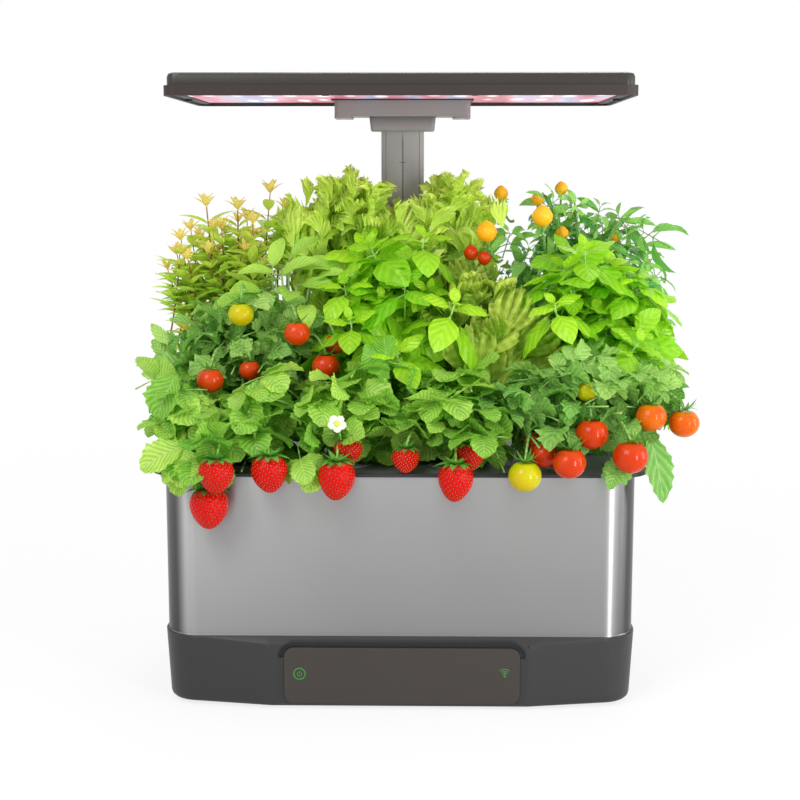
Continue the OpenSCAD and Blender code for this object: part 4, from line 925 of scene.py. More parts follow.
class GARDEN_OT_base(bpy.types.Operator):
    """Dresses the base, its cover, fascia, key and ring, and the rubber feet and grommet"""

    bl_idname = "garden.base"
    bl_label = "Base"

    def execute(self, context):
        paint(moulded("Moulded ABS, satin", look().base, 0.42, speckle=0.04), "base_cover")
        shell = painted_recess_shade(moulded("Moulded ABS with painted recess shade", look().base, 0.42, speckle=0.04), look().groove)
        dress("base_housing", shell, sizes().edge, front=-0.085)
        fascia = moulded("Satin acrylic", look().fascia, 0.3, 2.5, 0.01, 0.03)
        dress("touch_fascia", fascia, sizes().edge)
        paint(fascia, "power_key")
        glow = {"Emission_Color": look().icons, "Emission_Strength": 0.12}
        paint(moulded("Lit polycarbonate ring", look().icons, 0.4, speckle=0.12, **glow), "power_ring")
        paint(moulded("Moulded rubber", linear("#202020"), 0.75, 0.8, 0.05), "rubber_feet", "pump_grommet")
        return {"FINISHED"}


class GARDEN_OT_symbols(bpy.types.Operator):
    """Prints the power and signal symbols"""

    bl_idname = "garden.symbols"
    bl_label = "Symbols"

    def execute(self, context):
        glow = {"Emission_Color": look().icons, "Emission_Strength": 0.2}
        ink = moulded("Screen-printed ink", look().icons, 0.5, grain_mm=0.5, speckle=0.12, **glow)
        key_low, key_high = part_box("power_key")
        centre = (key_low + key_high) / 2
        centre.y = key_low.y - 0.0001
        power = bmesh.new()
        self.arc(power, centre, 0.0016, 0.0022, 125, 415)
        stroke = Matrix.Translation(centre + UP * 0.0017) @ Matrix.Diagonal((0.0006, 0.0003, 0.0024, 1))
        bmesh.ops.create_cube(power, size=1, matrix=stroke)
        new_piece("power_symbol", power, [ink], "key")
        low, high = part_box("touch_fascia")
        place = Vector((high.x - 0.0137, low.y - 0.0001, centre.z - 0.001))
        fan = bmesh.new()
        dot = Matrix.Translation(place) @ Matrix.Diagonal((0.0008, 0.00025, 0.0008, 1))
        bmesh.ops.create_uvsphere(fan, u_segments=12, v_segments=8, radius=1, matrix=dot)
        for radius in (0.0025, 0.0044, 0.0063):
            self.arc(fan, place, radius - 0.00028, radius + 0.00028, 46, 134)
        new_piece("signal_symbol", fan, [ink], "garden_body")
        return {"FINISHED"}

    def arc(self, bm, centre, inner, outer, start, end):
        """A flat raised arc in the fascia's plane, swept from a short edge."""
        ray = Vector((cos(radians(start)), 0, sin(radians(start))))
        edge = [bm.verts.new(centre + ray * inner), bm.verts.new(centre + ray * outer)]
        line = bm.edges.new(edge)
        sweep = radians(end - start)
        bmesh.ops.spin(bm, geom=[*edge, line], cent=centre, axis=(0, -1, 0), angle=sweep, steps=20, use_merge=False)
        faces = [f for f in bm.faces if f.is_valid and (f.calc_center_median() - centre).length < outer * 1.01]
        bmesh.ops.recalc_face_normals(bm, faces=bm.faces)
        bmesh.ops.solidify(bm, geom=faces, thickness=0.0002)


class GARDEN_OT_tank(bpy.types.Operator):
    """Dresses the steel band, the rim and the tank"""

    bl_idname = "garden.tank"
    bl_label = "Tank"

    def execute(self, context):
        dress("steel_band", brushed("Brushed stainless steel", look().steel), 0.25 * MM)
        rim = moulded("Moulded polypropylene", look().rim, 0.38)
        dress("rim_trim", rim, sizes().edge, cuts=RING_CUTS)
        paint(moulded("Moulded dark polypropylene", linear("#2f3134"), 0.5), "water_tank", "drain_plug")
        return {"FINISHED"}


class GARDEN_OT_deck(bpy.types.Operator):
    """Dresses the deck, its pods, flap and float"""

    bl_idname = "garden.deck"
    bl_label = "Deck and pods"

    def execute(self, context):
        plastic = moulded("Moulded black ABS", linear("#666867"), 0.5, Specular_IOR_Level=0.2)
        dress("grow_deck", plastic, 0.3 * MM, cuts=RING_CUTS)
        dress("fill_lid", plastic, 0.3 * MM)
        paint(plastic, "pod_baskets")
        paint(moulded("Moulded dark collar", linear("#333331"), 0.5), "pod_collars")
        # Open pores and crumbs of a peat sponge
        sponge, tree, shader = principled("Peat sponge", linear("#4a3527"), 0.95)
        pores = add(tree, "TexNoise", add(tree, "TexCoord"), Scale=420, Detail=5, Roughness=0.7)
        tone = add(tree, "ValToRGB", pores, stops=[(0.3, linear("#1e140d")), (0.7, linear("#6a4d38"))])
        fit(shader, Base_Color=tone, Normal=add(tree, "Bump", Strength=0.9, Distance=0.6 * MM, Height=pores))
        paint(sponge, "grow_sponges")
        clear = moulded("Clear styrene", linear("#c5d3dc"), 0.12, depth_mm=0.005, Transmission_Weight=0.6)
        paint(clear, "float_cage")
        paint(moulded("Moulded red float", linear("#c8301f"), 0.35), "level_float")
        return {"FINISHED"}


class GARDEN_OT_works(bpy.types.Operator):
    """Dresses the pump, the leads, the board and the fasteners"""

    bl_idname = "garden.works"
    bl_label = "Pump and wiring"

    def execute(self, context):
        # Bright plating, clouded where it was handled
        steel, tree, shader = principled("Zinc-plated steel", linear("#b9bbbd"), 0.32, Metallic=1)
        cloud = add(tree, "TexNoise", add(tree, "TexCoord"), Scale=300, Detail=3)
        fit(shader, Roughness=add(tree, "MapRange", cloud, span=(0, 1, 0.24, 0.45)))
        paint(steel, "base_screws", "mast_screws", "bracket_screws", "lid_pin", "pump_shaft")
        paint(moulded("Blackened steel", linear("#26241f"), 0.45, 0.5), "lamp_screws")
        paint(moulded("Moulded pump nylon", linear("#26292b"), 0.45), "pump_housing", "pump_cover", "power_inlet")
        paint(moulded("White acetal", linear("#e2e2de"), 0.35), "pump_impeller")
        paint(moulded("Silicone tube", linear("#8a8f94"), 0.4, Transmission_Weight=0.2), "riser_tube")
        paint(moulded("Soft vinyl sheath", linear("#222222"), 0.5, 0.6), "board_lead", "pump_lead")
        paint(moulded("Glass epoxy board", linear("#1f5c36"), 0.4, 0.9, 0.03), "control_board")
        # Open cells of about a millimetre
        foam, tree, shader = principled("Filter foam", linear("#3a4a66"), 0.95)
        cells = add(tree, "TexVoronoi", add(tree, "TexCoord"), Scale=900)
        fit(shader, Normal=add(tree, "Bump", Strength=1, Distance=0.5 * MM, Height=cells))
        paint(foam, "pump_filter")
        return {"FINISHED"}


class GARDEN_OT_mast(bpy.types.Operator):
    """Dresses the telescopic mast and its lead"""

    bl_idname = "garden.mast"
    bl_label = "Mast"

    def execute(self, context):
        grey = moulded("Moulded grey ABS", look().mast, 0.45, speckle=0.03)
        dark = moulded("Moulded dark grey ABS", linear("#6a6a69"), 0.48, speckle=0.03)
        for node, finish, slot in (
            ("mast_outer", dark, "mast_dark"),
            ("outer_bush", dark, "mast_dark"),
            ("mast_middle", grey, "mast_light"),
            ("middle_bush", dark, "mast_light"),
            ("mast_inner", grey, "mast_light"),
        ):
            dress(node, finish, 0.3 * MM)
        # Dark strips that paint the shade in the mast's grooves and seam
        self.lines(moulded("Painted groove shade on ABS", linear("#656564"), 0.6))
        low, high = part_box("lamp_lead")
        centre = (low + high) / 2
        bm = bmesh.new()
        bmesh.ops.create_cone(
            bm, cap_ends=True, segments=20, radius1=0.0029, radius2=0.0029, depth=high.z - low.z,
            matrix=Matrix.Translation(centre),
        )
        long = [e for e in bm.edges if abs((e.verts[0].co - e.verts[1].co).z) > 0.1]
        bmesh.ops.subdivide_edges(bm, edges=long, cuts=60)
        for face in bm.faces:
            face.smooth = len(face.verts) == 4
        cable = moulded("Soft vinyl cable", linear("#1c1c1c"), 0.5)
        lead = new_piece("lamp_cable", bm, [cable], "garden_body", ["lamp_lead"])
        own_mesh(lead)
        return {"FINISHED"}

    def lines(self, material):
        """Flat dark strips whose colour is painted shade for the two edge grooves, the centre seam and the cross mark
        on the upper stage's face.
        """
        low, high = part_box("mast_inner")
        middle = (low.x + high.x) / 2
        bm = bmesh.new()
        for x, width, bottom, top in (
            (middle - 16.4 * MM, 0.6 * MM, low.z + 4 * MM, high.z - 2 * MM),
            (middle + 16.4 * MM, 0.6 * MM, low.z + 4 * MM, high.z - 2 * MM),
            (middle, 0.45 * MM, low.z + 4 * MM, high.z - 22 * MM),
            (middle, 6.5 * MM, 0.4855, 0.4863),
        ):
            place = Matrix.Translation((x, low.y, (bottom + top) / 2))
            bmesh.ops.create_cube(bm, size=1, matrix=place @ Matrix.Diagonal((width, 0.1 * MM, top - bottom, 1)))
        new_piece("mast_grooves", bm, [material], BODY_OF["mast_inner"])


class GARDEN_OT_lamp(bpy.types.Operator):
    """Dresses the bracket, the lamp, its lens and its diodes"""

    bl_idname = "garden.lamp"
    bl_label = "Lamp"

    def execute(self, context):
        bracket = moulded("Moulded bracket ABS", look().bracket, 0.42, speckle=0.03)
        dress("lamp_bracket", bracket, sizes().edge)
        dress("mast_head", bracket, sizes().edge)
        brim = moulded("Painted ABS brim", look().brim, 0.48, speckle=0.03)
        dress("lamp_frame", brim, 0.6 * MM)
        cover = moulded("Painted ABS cover", look().cover, 0.32, speckle=0.03)
        dress("lamp_cover", cover, 0.8 * MM)
        paint(lens_finish("Opal polycarbonate", look().glow), "lamp_lens")
        paint(moulded("White solder mask", linear("#e9e9e4"), 0.4), "led_board")
        paint(moulded("Extruded aluminium", linear("#b5b7b9"), 0.35, Metallic=1), "heat_sink")
        for node, hex_colour in (("white_leds", "#fff6e6"), ("red_leds", "#ff3a30"), ("blue_leds", "#4a5cff")):
            colour, name = linear(hex_colour), "Phosphor resin, " + node.replace("_", " ")
            glow = {"Emission_Color": colour, "Emission_Strength": 2}
            paint(moulded(name, colour, 0.3, grain_mm=0.4, speckle=0.1, **glow), node)
        return {"FINISHED"}


class GARDEN_OT_fruit(bpy.types.Operator):
    """Models the strawberries, tomatoes and peppers"""

    bl_idname = "garden.fruit"
    bl_label = "Fruit"

    def execute(self, context):
        rng = random.Random(sizes().seed)
        berries, seeds, caps = shaded_mesh(), bmesh.new(), shaded_mesh()
        for low, high in islands("strawberries"):
            strawberry(berries, seeds, low, high, rng)
        skin = skin_finish("Strawberry skin", look().strawberry, "#f0a07a", 0.2, 0.12)
        new_piece("strawberry_fruit", berries, [skin], "deck", ["strawberries"])
        husk = moulded("Strawberry seed husk", linear("#cf8a34"), 0.35, grain_mm=0.3, speckle=0.3)
        new_piece("strawberry_seeds", seeds, [husk], "deck")
        # Each row has its count of sepals, their length by the fruit's radius, width, droop and lift
        upper = ((6, 1.25, 0.17, -0.7, 0.3), (4, 0.9, 0.2, 1.1, 0.5))
        for node, level, rows in (
            ("strawberries", -0.0012, ((10, 1.2, 0.36, 0.75, 0.35), (7, 0.95, 0.34, -0.4, 0.35))),
            ("red_tomatoes", -0.0028, upper),
            ("ripening_tomatoes", -0.0028, upper),
            ("peppers", 0.0006, ((5, 0.75, 0.5, -0.9, 0.1),)),
        ):
            for low, high in islands(node):
                radius = (high.x - low.x) / 2
                end = low.z if node == "peppers" else high.z
                top = Vector(((low.x + high.x) / 2, (low.y + high.y) / 2, end + level))
                for count, length, width, droop, lift in rows:
                    sepals(caps, top, count, radius * length, width, droop, lift, rng)
                    top = top + UP * 0.001
        sepal = leaf_finish("Sepals", "#7cc048", "#3d8a2c", "#8ecb5c", 3, through=0.2)
        new_piece("calyxes", caps, [sepal, stem_finish("Fruit stalk", "#5f9a3a")], "deck")
        for node, name, skin, unripe, slot in (
            ("red_tomatoes", "tomatoes_ripe", look().tomato, "#e8641a", "tomato_skin_red"),
            ("ripening_tomatoes", "tomatoes_ripening", look().ripening, "#b4bb0a", "tomato_skin_yellow"),
        ):
            bm = shaded_mesh()
            for centre, radius in middle_and_radius(node):
                green_share = rng.uniform(0.0, 0.2)
                if node == "ripening_tomatoes":
                    green_share = 0.05 if centre.x - radius > 0.19 else 0.85
                tomato(bm, centre, radius, green_share)
            new_piece(name, bm, [skin_finish(name + " skin", skin, unripe, 0.14)], "deck", [node])
        for name, skin, unripe, red, held in (
            ("pepper_fruit", look().pepper, "#e8cf3a", False, ["peppers"]),
            ("red_pepper_fruit", look().tomato, "#e0701a", True, []),
        ):
            bm = shaded_mesh()
            for low, high in islands("peppers"):
                if red == (high.x < 0.09 and high.z < 0.42):
                    tomato(bm, (low + high) / 2, (high.x - low.x) / 2, rng.uniform(0.0, 0.35), 4, 1.1, 0.28)
            new_piece(name, bm, [skin_finish(name + " skin", skin, unripe, 0.18)], "deck", held)
        return {"FINISHED"}


class GARDEN_OT_front_plants(bpy.types.Operator):
    """Grows the strawberry and tomato plants"""

    bl_idname = "garden.front_plants"
    bl_label = "Strawberries and tomatoes"

    def execute(self, context):
        fruit = fruit_places()
        berries = [((a + b) / 2, (b.z - a.z) / 2) for a, b in islands("strawberries")]
        leaf = leaf_finish(
            "Strawberry leaf", "#d2f86a", "#5ab228", "#dcf6a8", 8, 5.6, 0.36, quilt=1.2, pleat_shade=0.26, veined=0.28
        )
        leaves, single, long = templates_of(strawberry_leaf), strawberry_blade(1), sizes().strawberry_leaf

        def front(bm, rng):
            edge_leaves(bm, leaves, -0.205, 0.075, 0.011, long * 1.5, fruit, rng, [(-0.055, 0.005)])
            for placed in (
                (leaves[0], (-160, -112, 250), (-216, -128, 230), (-0.2, -0.7, 0.7), 74, 0.8),
                (leaves[2], (-166, -112, 240), (-196, -140, 206), (-0.3, -0.8, 0.4), 56, 0.5),
                (single, (-196, -96, 300), (-222, -112, 262), (-0.4, -0.8, 0.4), 44, 0.3),
            ):
                set_leaf(bm, *placed, rng)

        grow(
            "strawberry_foliage", "strawberry_plants", "strawberry_leaf",
            [leaf, stem_finish("Strawberry stem", "#8fbe52")], leaves, 250, long * 1.85, crowns((0, 1, 2), 0),
            {"out": 0.9, "up": 0.55, "lift": 0.05, "depth": 0.035, "rise": 0.35}, 1, front, berries,
        )
        leaf = leaf_finish(
            "Tomato leaf", "#c8ee7e", "#66b042", "#cfeaa4", 5, 3.6, 0.45, quilt=1.3, pleat_shade=0.2, veined=0.3
        )
        leaves, long = templates_of(tomato_leaf), sizes().tomato_leaf
        hanging = as_mesh(blade(14, 4, 0.46, 0.9, 0.75, 0.2, 0.4, teeth=0.1, wave=0.08))

        def side(bm, rng):
            edge_leaves(bm, leaves, 0.075, 0.205, 0.012, long * 0.9, fruit, rng)
            set_leaf(bm, hanging, (222, -92, 246), (238, -112, 190), (0.35, -0.9, 0.2), 62, 0.15, rng)
            for foot, tip, facing, size in (
                ((-203, -50, 292), (-234, -58, 296), (-0.3, -0.9, 0.3), 34),
                ((-212, -46, 322), (-228, -50, 340), (-0.3, -0.9, 0.3), 24),
                ((-181, -90, 278), (-213, -104, 254), (-0.2, -0.9, 0.4), 42),
            ):
                set_leaf(bm, hanging, foot, tip, facing, size, rng.uniform(0.4, 0.9), rng)
            tube(bm, bent(Vector((0.2, -0.07, 0.27)), Vector((0.243, -0.075, 0.302)), UP * 0.012), 0.0013, 0.0008)
            for foot, tip in (
                ((243, -75, 302), (232, -84, 316)), ((243, -75, 302), (250, -80, 296)),
                ((234, -74, 298), (222, -84, 306)),
            ):
                set_leaf(bm, hanging, foot, tip, (0, -0.7, 0.7), 17, 0.6, rng)

        grow(
            "tomato_foliage", "tomato_plants", "tomato_leaf",
            [leaf, stem_finish("Tomato stem", "#7fae55")], leaves, 200, long * 1.35, crowns((0,), 1) + crowns((3,), 0),
            {"out": 0.8, "up": 0.6, "lift": 0.05, "depth": 0.035, "rise": 0.3}, 2, side,
            middle_and_radius("red_tomatoes", "ripening_tomatoes"),
        )
        self.flower()
        return {"FINISHED"}

    def flower(self):
        """One open strawberry flower with five petals and a green-yellow heart."""
        rng = random.Random(sizes().seed)
        centre = Vector((-0.0525, -0.142, 0.2635))
        petal = as_mesh(blade(5, 4, 0.95, 1.3, 0.55, 0.1, -0.35))
        face = Vector((0.1, -0.85, 0.5)).normalized()
        first = face.cross(UP).normalized()
        bm = shaded_mesh()
        for k in range(5):
            way = Matrix.Rotation(2 * pi * k / 5 + 0.3, 4, face) @ first
            put_leaf(bm, petal, centre + way * 0.001, way, face, 0.0078, 0.5, rng)
        place = Matrix.Translation(centre + face * 0.0008) @ facing_along(face)
        shape = place @ Matrix.Diagonal((0.0026, 0.0026, 0.0018, 1))
        round_off(bmesh.ops.create_icosphere(bm, subdivisions=3, radius=1, matrix=shape)["verts"], 1)
        stalk = bent(Vector((-0.05, -0.1, 0.235)), centre - face * 0.001, Vector((0, -0.01, 0.008)))
        tube(bm, stalk, 0.0011, 0.0008, material=2)
        finishes = [
            leaf_finish("Flower petal", "#ffffff", "#f4f7ef", "#ffffff", 3, gloss=0.5, through=0.4, quilt=0.2),
            skin_finish("Flower heart", linear("#c9d84a"), "#9ac03a", 0.6),
            stem_finish("Flower stalk", "#8fbe52"),
        ]
        new_piece("strawberry_flower", bm, finishes, "deck")


class GARDEN_OT_leafy_plants(bpy.types.Operator):
    """Grows the basil, the sage and the lettuces"""

    bl_idname = "garden.leafy_plants"
    bl_label = "Basil and lettuces"

    def execute(self, context):
        leaf = leaf_finish(
            "Basil leaf", "#c2f432", "#5cbc12", "#d8f48a", 5, 3.0, 0.24, quilt=1.3, veined=0.16, pleat_shade=0.1
        )
        leaves = templates_of(basil_leaf)
        broad = stalked(blade(12, 6, 0.62, 0.82, 0.7, -0.1, 0.6, wave=0.05), 0.08, 0.015)

        def shoots(bm, rng):
            for place, lean, size in (
                ((20, -22, 408), (0.1, -0.25, 1), 62), ((-50, -34, 366), (-0.15, -0.3, 1), 60),
                ((4, -50, 372), (0, -0.4, 1), 52), ((46, -58, 350), (0.3, -0.5, 1), 66),
                ((-44, -58, 338), (-0.1, -0.5, 1), 50), ((-2, -72, 312), (0, -0.6, 0.9), 58),
                ((168, -32, 398), (0, -0.3, 1), 58), ((210, -58, 318), (0.5, -0.4, 0.8), 58),
                ((140, -62, 352), (-0.2, -0.5, 1), 56),
            ):
                way = Vector(lean).normalized()
                foot, size = Vector(place) * MM - way * size * 0.1 * MM, size * MM
                side = way.cross(Vector((rng.uniform(-1, 1), 1, 0))).normalized()
                put_leaf(bm, rng.choice(leaves), foot, side, way, size, rng.uniform(0.25, 0.7), rng)
            for foot, tip, facing, size in (
                ((205, -34, 318), (258, -44, 323), (0.2, -0.8, 0.6), 56),
                ((156, -20, 391), (184, -27, 412), (0.1, -0.8, 0.5), 42),
                ((180, -22, 393), (210, -34, 370), (0.3, -0.8, 0.5), 42),
                ((214, -34, 332), (232, -42, 351), (0.2, -0.8, 0.5), 32),
            ):
                set_leaf(bm, broad, foot, tip, facing, size, rng.uniform(0.35, 0.7), rng)

        grow(
            "basil_foliage", "basil_plants", "basil_leaf",
            [leaf, stem_finish("Basil stem", "#9ccc5c")], leaves, 88, sizes().basil_leaf * 1.12, crowns((1, 3), 1),
            {"out": 0.75, "up": 0.75, "lift": 0, "depth": 0.02, "sunk": 0.2, "height": 0.4, "shrink": 0.15}, 3, shoots,
        )
        self.broad_leaves()
        leaf = leaf_finish(
            "Lettuce leaf", "#eaff78", "#bfe93a", "#f0f9bd", 1, 0.2, 0.35, through=0.45, veined=0.6, quilt=0.3
        )
        stem = stem_finish("Lettuce rib", "#d3e6a0")
        style = {"out": 0.9, "up": 0.15, "lift": 0.9, "depth": 0.03, "rise": 0.9, "shrink": 0.1}
        curly = templates_of(lettuce_leaf, 6)

        def behind(bm, rng):
            # Leaves that close the gap between the two heads, in front of the mast, and leaves by which the
            # left-hand head spreads towards the herb: the ranges of a foot and of the way to its tip
            for count, ranges, turn, shades in (
                (46, ((-30, 34), (30, 62), (380, 428), (-14, 14), (-16, 4), (26, 34)), (-0.5, 0.5), (0.3, 1.0)),
                (44, ((-106, -72), (34, 60), (378, 424), (-22, -4), (-14, 4), (18, 30)), (-0.7, 0.1), (0.2, 0.9)),
            ):
                for _ in range(count):
                    drawn = [rng.uniform(*ends) for ends in ranges]
                    foot, tip = drawn[:3], [a + b for a, b in zip(drawn, drawn[3:])]
                    form, facing = rng.choice(curly), (rng.uniform(*turn), -0.9, 0.3)
                    set_leaf(bm, form, foot, tip, facing, 34, rng.uniform(*shades), rng)

        grow(
            "lettuce_foliage", "lettuce_plants", "lettuce_leaf", [leaf, stem], curly, 1180,
            sizes().lettuce_leaf * 0.3, crowns((1, 2), 2), {**style, "rows": (0.02, 0.2)}, 4, behind,
        )
        leaf = leaf_finish(
            "Ruffled lettuce leaf", "#d4ea60", "#70a818", "#e6f2a4", 6, 3.0, 0.35,
            through=0.4, veined=0.22, quilt=1.8, pleat_shade=0.12,
        )
        wide = templates_of(ruffled_leaf)

        def spill(bm, rng):
            for x, y, z, lean in (
                (84, -56, 352, 0), (100, -58, 340, 8), (116, -60, 322, 14), (92, -64, 316, -4), (108, -66, 300, 8),
                (126, -62, 300, 18), (76, -64, 330, -8), (86, -68, 290, 0), (132, -58, 334, 20), (104, -54, 366, 6),
                (122, -56, 352, 14), (98, -66, 276, 6),
            ):
                foot, tip = (x * 0.86, y + 22, z - 44), (x + lean, y - 12, z)
                form, facing = rng.choice(wide), (rng.uniform(-0.4, 0.4), -1, 0.25)
                set_leaf(bm, form, foot, tip, facing, rng.uniform(50, 58), rng.uniform(0.4, 1.0), rng)

        grow(
            "ruffled_foliage", "lettuce_plants", "lettuce_leaf", [leaf, stem], wide, 260,
            sizes().lettuce_leaf * 0.5, crowns((2,), 1), {**style, "rows": (-0.2, 0.02)}, 8, spill, hides=False,
        )
        return {"FINISHED"}

    def broad_leaves(self):
        """Pale oval leaves that rise on their own stems between the left-hand plants."""
        rng = random.Random(sizes().seed + 9)
        pale = leaf_finish("Sage leaf", "#ccf464", "#8ac83e", "#dcf2b0", 7, 4.0, 0.5, quilt=1.6, veined=0.25)
        leaf = stalked(blade(10, 4, 0.5, 0.85, 0.75, 0.3, 0.7, wave=0.06, waves=2), 0.2)
        bm = shaded_mesh()
        for foot, tip, size in (
            ((-118, 2, 376), (-92, -14, 398), 50), ((-106, 6, 386), (-70, -6, 396), 54),
            ((-112, 4, 380), (-142, -16, 392), 46), ((-98, -2, 372), (-66, -30, 378), 50),
            ((-126, -4, 366), (-150, -34, 376), 44), ((-104, -6, 366), (-100, -44, 372), 46),
            ((-86, -2, 372), (-58, -22, 392), 44), ((-122, 4, 382), (-116, 10, 412), 40),
            ((-108, 10, 392), (-86, 14, 418), 42), ((-134, -10, 360), (-166, -30, 362), 46),
            ((-90, -14, 356), (-84, -50, 350), 46),
        ):
            set_leaf(bm, leaf, foot, tip, (rng.uniform(-0.3, 0.3), -0.5, 0.8), size, rng.uniform(0.2, 1.0), rng)
            stem = bent(Vector((-0.056, 0.0, 0.225)), Vector(foot) * MM, Vector((-0.03, 0, 0.02)))
            tube(bm, stem, 0.0018, 0.001)
        new_piece("sage_leaves", bm, [pale, stem_finish("Sage stem", "#8fb070")], "deck")


class GARDEN_OT_rear_plants(bpy.types.Operator):
    """Grows the pepper plant and the red-tipped herb"""

    bl_idname = "garden.rear_plants"
    bl_label = "Pepper and herb"

    def execute(self, context):
        leaf = leaf_finish("Pepper leaf", "#a6e268", "#429c40", "#a8d67c", 6, 2.4, 0.28)
        lance = stalked(blade(8, 2, 0.3, 0.9, 0.85, 0.3, 0.7), 0.1, 0.014)

        def lances(bm, rng):
            fork = Vector((180, 30, 365)) * MM
            for foot, tip, size, shade in (
                ((211, 50, 429), (245, 48, 433), 36, 0.7), ((228, 45, 407), (263, 42, 410), 38, 0.6),
                ((213, 30, 384), (261, 18, 343), 68, 0.0), ((232, 34, 375), (259, 26, 360), 34, 0.2),
                ((165, 52, 453), (191, 46, 444), 30, 0.3), ((165, 50, 441), (187, 42, 425), 30, 0.1),
                ((210, 50, 432), (220, 48, 441), 18, 0.8), ((210, 40, 399), (232, 36, 393), 26, 0.2),
                ((135, 52, 457), (147, 46, 443), 20, 0.0), ((205, 34, 392), (244, 24, 372), 44, 0.1),
                ((196, 40, 410), (216, 34, 402), 28, 0.4),
            ):
                set_leaf(bm, lance, foot, tip, (rng.uniform(-0.2, 0.4), -0.7, 0.7), size, shade, rng)
                tube(bm, bent(fork, Vector(foot) * MM, Vector((-0.004, 0, 0.01))), 0.0013, 0.0008)

        grow(
            "pepper_foliage", "pepper_plant", "pepper_leaf",
            [leaf, stem_finish("Pepper stem", "#6a9c4c")], templates_of(pepper_leaf), 120, sizes().pepper_leaf * 0.8,
            crowns((3,), 2), {"out": 0.7, "up": 0.7, "lift": 0, "depth": 0.02, "sunk": 0.3, "height": 0.35}, 5,
            lances, middle_and_radius("peppers"), hanging=False,
        )
        leaf = leaf_finish("Herb leaf", "#ffe688", "#c6ec54", "#d8e898", 3, gloss=0.4, veined=0.3)
        narrow = as_mesh(blade(5, 2, 0.36, 0.8, 0.8, 0.35))
        sprigs = templates_of(lambda k: sprig(narrow, 0.06 * (k - 1)), 4)

        def tall(bm, rng):
            crown = Vector((-0.144, 0.045, 0.2169))
            for tip, size in (
                ((-190, 60, 443), 92), ((-160, 50, 440), 90), ((-132, 60, 456), 92), ((-212, 40, 411), 84),
                ((-173, 40, 422), 84), ((-144, 30, 427), 84), ((-202, 24, 394), 80), ((-222, 40, 384), 74),
                ((-118, 56, 440), 84), ((-152, 70, 430), 84), ((-182, 24, 400), 80), ((-206, 62, 420), 80),
            ):
                tip = Vector(tip) * MM
                way = (tip - crown).normalized() * 0.45 + UP * 0.55
                foot = tip - way.normalized() * size * MM
                side = way.cross(Vector((rng.uniform(-1, 1), rng.uniform(-1, 1), 0))).normalized()
                form, shade = rng.choice(sprigs[:3]), rng.uniform(0.0, 0.15)
                put_leaf(bm, form, foot, side, way.normalized(), size * MM, shade, rng)
                tube(bm, bent(crown, foot, UP * 0.02), 0.0016, 0.0012)

        style = {"out": 0.3, "up": 1.0, "lift": 0, "depth": 0.012, "sunk": 0.8, "height": 1.1, "reach": 0.3}
        grow(
            "herb_foliage", "red_tip_herb", "herb_leaf", [leaf, stem_finish("Herb stem", "#9a5a3c")], sprigs, 62,
            sizes().herb_leaf * 2.5, crowns((0,), 2), {**style, "shrink": 0, "tone": 0.25}, 6, tall,
        )
        return {"FINISHED"}


def seen_rays(tree):
    """1 for the rays that see the white background: camera, glossy and transmission rays."""
    rays = add(tree, "LightPath").outputs
    first = add(tree, "Math MAXIMUM", rays["Is Camera Ray"], rays["Is Glossy Ray"])
    return add(tree, "Math MAXIMUM", first, rays["Is Transmission Ray"])


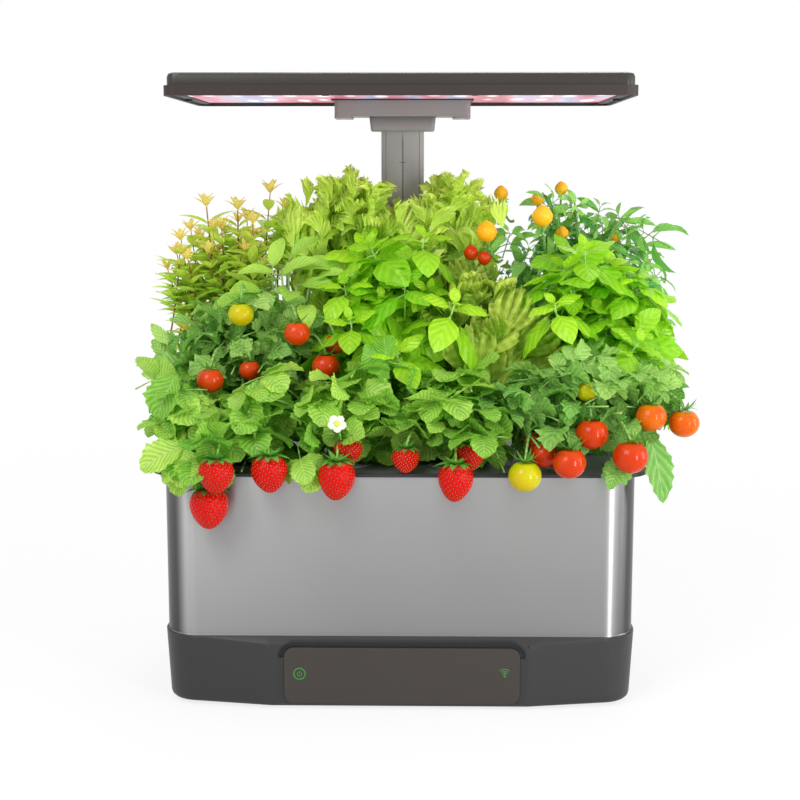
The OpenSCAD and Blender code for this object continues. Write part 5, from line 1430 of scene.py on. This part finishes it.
class GARDEN_OT_stage(bpy.types.Operator):
    """Sets the floor, the light and the camera"""

    bl_idname = "garden.stage"
    bl_label = "Stage"

    def execute(self, context):
        scene = context.scene
        bm = bmesh.new()
        bmesh.ops.create_grid(bm, x_segments=1, y_segments=1, size=6)
        mesh = bpy.data.meshes.new("floor")
        bm.to_mesh(mesh)
        bm.free()
        floor = bpy.data.objects.new("floor", mesh)
        scene.collection.objects.link(floor)
        # Near the object the floor shows its shadow, and further out it runs into the backdrop
        material, tree, shader = principled("White studio floor", (0.86, 0.86, 0.86, 1), 0.9)
        reach = add(tree, "VectorMath LENGTH", add(tree, "TexCoord")).outputs["Value"]
        plain = add(tree, "MapRange SMOOTHSTEP", reach, span=(0.35, 1.6, 0.8, 1))
        share = add(tree, "Math MULTIPLY", seen_rays(tree), plain)
        mixed = add(tree, "MixShader", share, shader, add(tree, "Emission", (1, 1, 1, 1), 1))
        fit(tree.nodes["Material Output"], mixed)
        mesh.materials.append(material)

        scene.world = bpy.data.worlds.new("Studio")
        scene.world.use_nodes = True
        tree = scene.world.node_tree
        ground = fit(tree.nodes["Background"], (1, 1, 1, 1), 0.65)
        mixed = add(tree, "MixShader", seen_rays(tree), ground, add(tree, "Background", (1, 1, 1, 1), 1))
        fit(tree.nodes["World Output"], mixed)

        for name, place, size, energy in (
            ("key", (-0.9, -1.3, 1.7), (1.0, 1.0), 22),
            ("fill", (1.4, -1.0, 1.0), (1.2, 1.2), 4),
            ("rear", (0.3, 1.6, 1.5), (1.2, 1.2), 10),
            ("left strip", (-1.15, -1.1, 0.35), (0.35, 0.9), 1),
            ("right strip", (0.9, -1.2, 0.35), (0.12, 0.9), 10),
            ("side strip", (1.5, -0.25, 0.45), (0.5, 0.9), 8),
        ):
            data = bpy.data.lights.new(name, "AREA")
            data.energy = energy
            data.shape = "RECTANGLE"
            data.size, data.size_y = size
            light = bpy.data.objects.new(name, data)
            light.location = place
            light.rotation_euler = (Vector((0, 0, 0.25)) - Vector(place)).to_track_quat("-Z", "Y").to_euler()
            scene.collection.objects.link(light)

        camera = bpy.data.cameras.new("camera")
        camera.sensor_width = SENSOR_WIDTH
        camera.lens = SENSOR_WIDTH * FOCAL_LENGTH / PICTURE_WIDTH
        view = bpy.data.objects.new("camera", camera)
        view.location = EYE
        view.rotation_euler = Euler((radians(81.44), 0, radians(0.99)))
        scene.collection.objects.link(view)
        scene.camera = view
        scene.view_settings.view_transform = "Standard"
        return {"FINISHED"}


class GARDEN_PT_sidebar(bpy.types.Panel):
    """Lists the garden's pieces"""

    bl_label = "Garden"
    bl_idname = "GARDEN_PT_sidebar"
    bl_space_type = "VIEW_3D"
    bl_region_type = "UI"
    bl_category = "Garden"

    def draw(self, context):
        for operator in OPERATORS:
            self.layout.operator(operator.bl_idname)
        for group in (context.scene.garden_look, context.scene.garden_sizes):
            for key in group.bl_rna.properties.keys():
                if key not in ("rna_type", "name"):
                    self.layout.prop(group, key)


OPERATORS = (
    GARDEN_OT_base, GARDEN_OT_symbols, GARDEN_OT_tank, GARDEN_OT_deck, GARDEN_OT_works, GARDEN_OT_mast,
    GARDEN_OT_lamp, GARDEN_OT_fruit, GARDEN_OT_front_plants, GARDEN_OT_leafy_plants, GARDEN_OT_rear_plants,
    GARDEN_OT_stage,
)
CLASSES = (GardenLook, GardenSizes, *OPERATORS, GARDEN_PT_sidebar)


def register():
    for item in CLASSES:
        bpy.utils.register_class(item)
    bpy.types.Scene.garden_look = bpy.props.PointerProperty(type=GardenLook)
    bpy.types.Scene.garden_sizes = bpy.props.PointerProperty(type=GardenSizes)


def unregister():
    del bpy.types.Scene.garden_sizes
    del bpy.types.Scene.garden_look
    for item in reversed(CLASSES):
        bpy.utils.unregister_class(item)


def main():
    register()
    for operator in OPERATORS:
        group, name = operator.bl_idname.split(".")
        getattr(getattr(bpy.ops, group), name)()


if __name__ == "__main__":
    main()
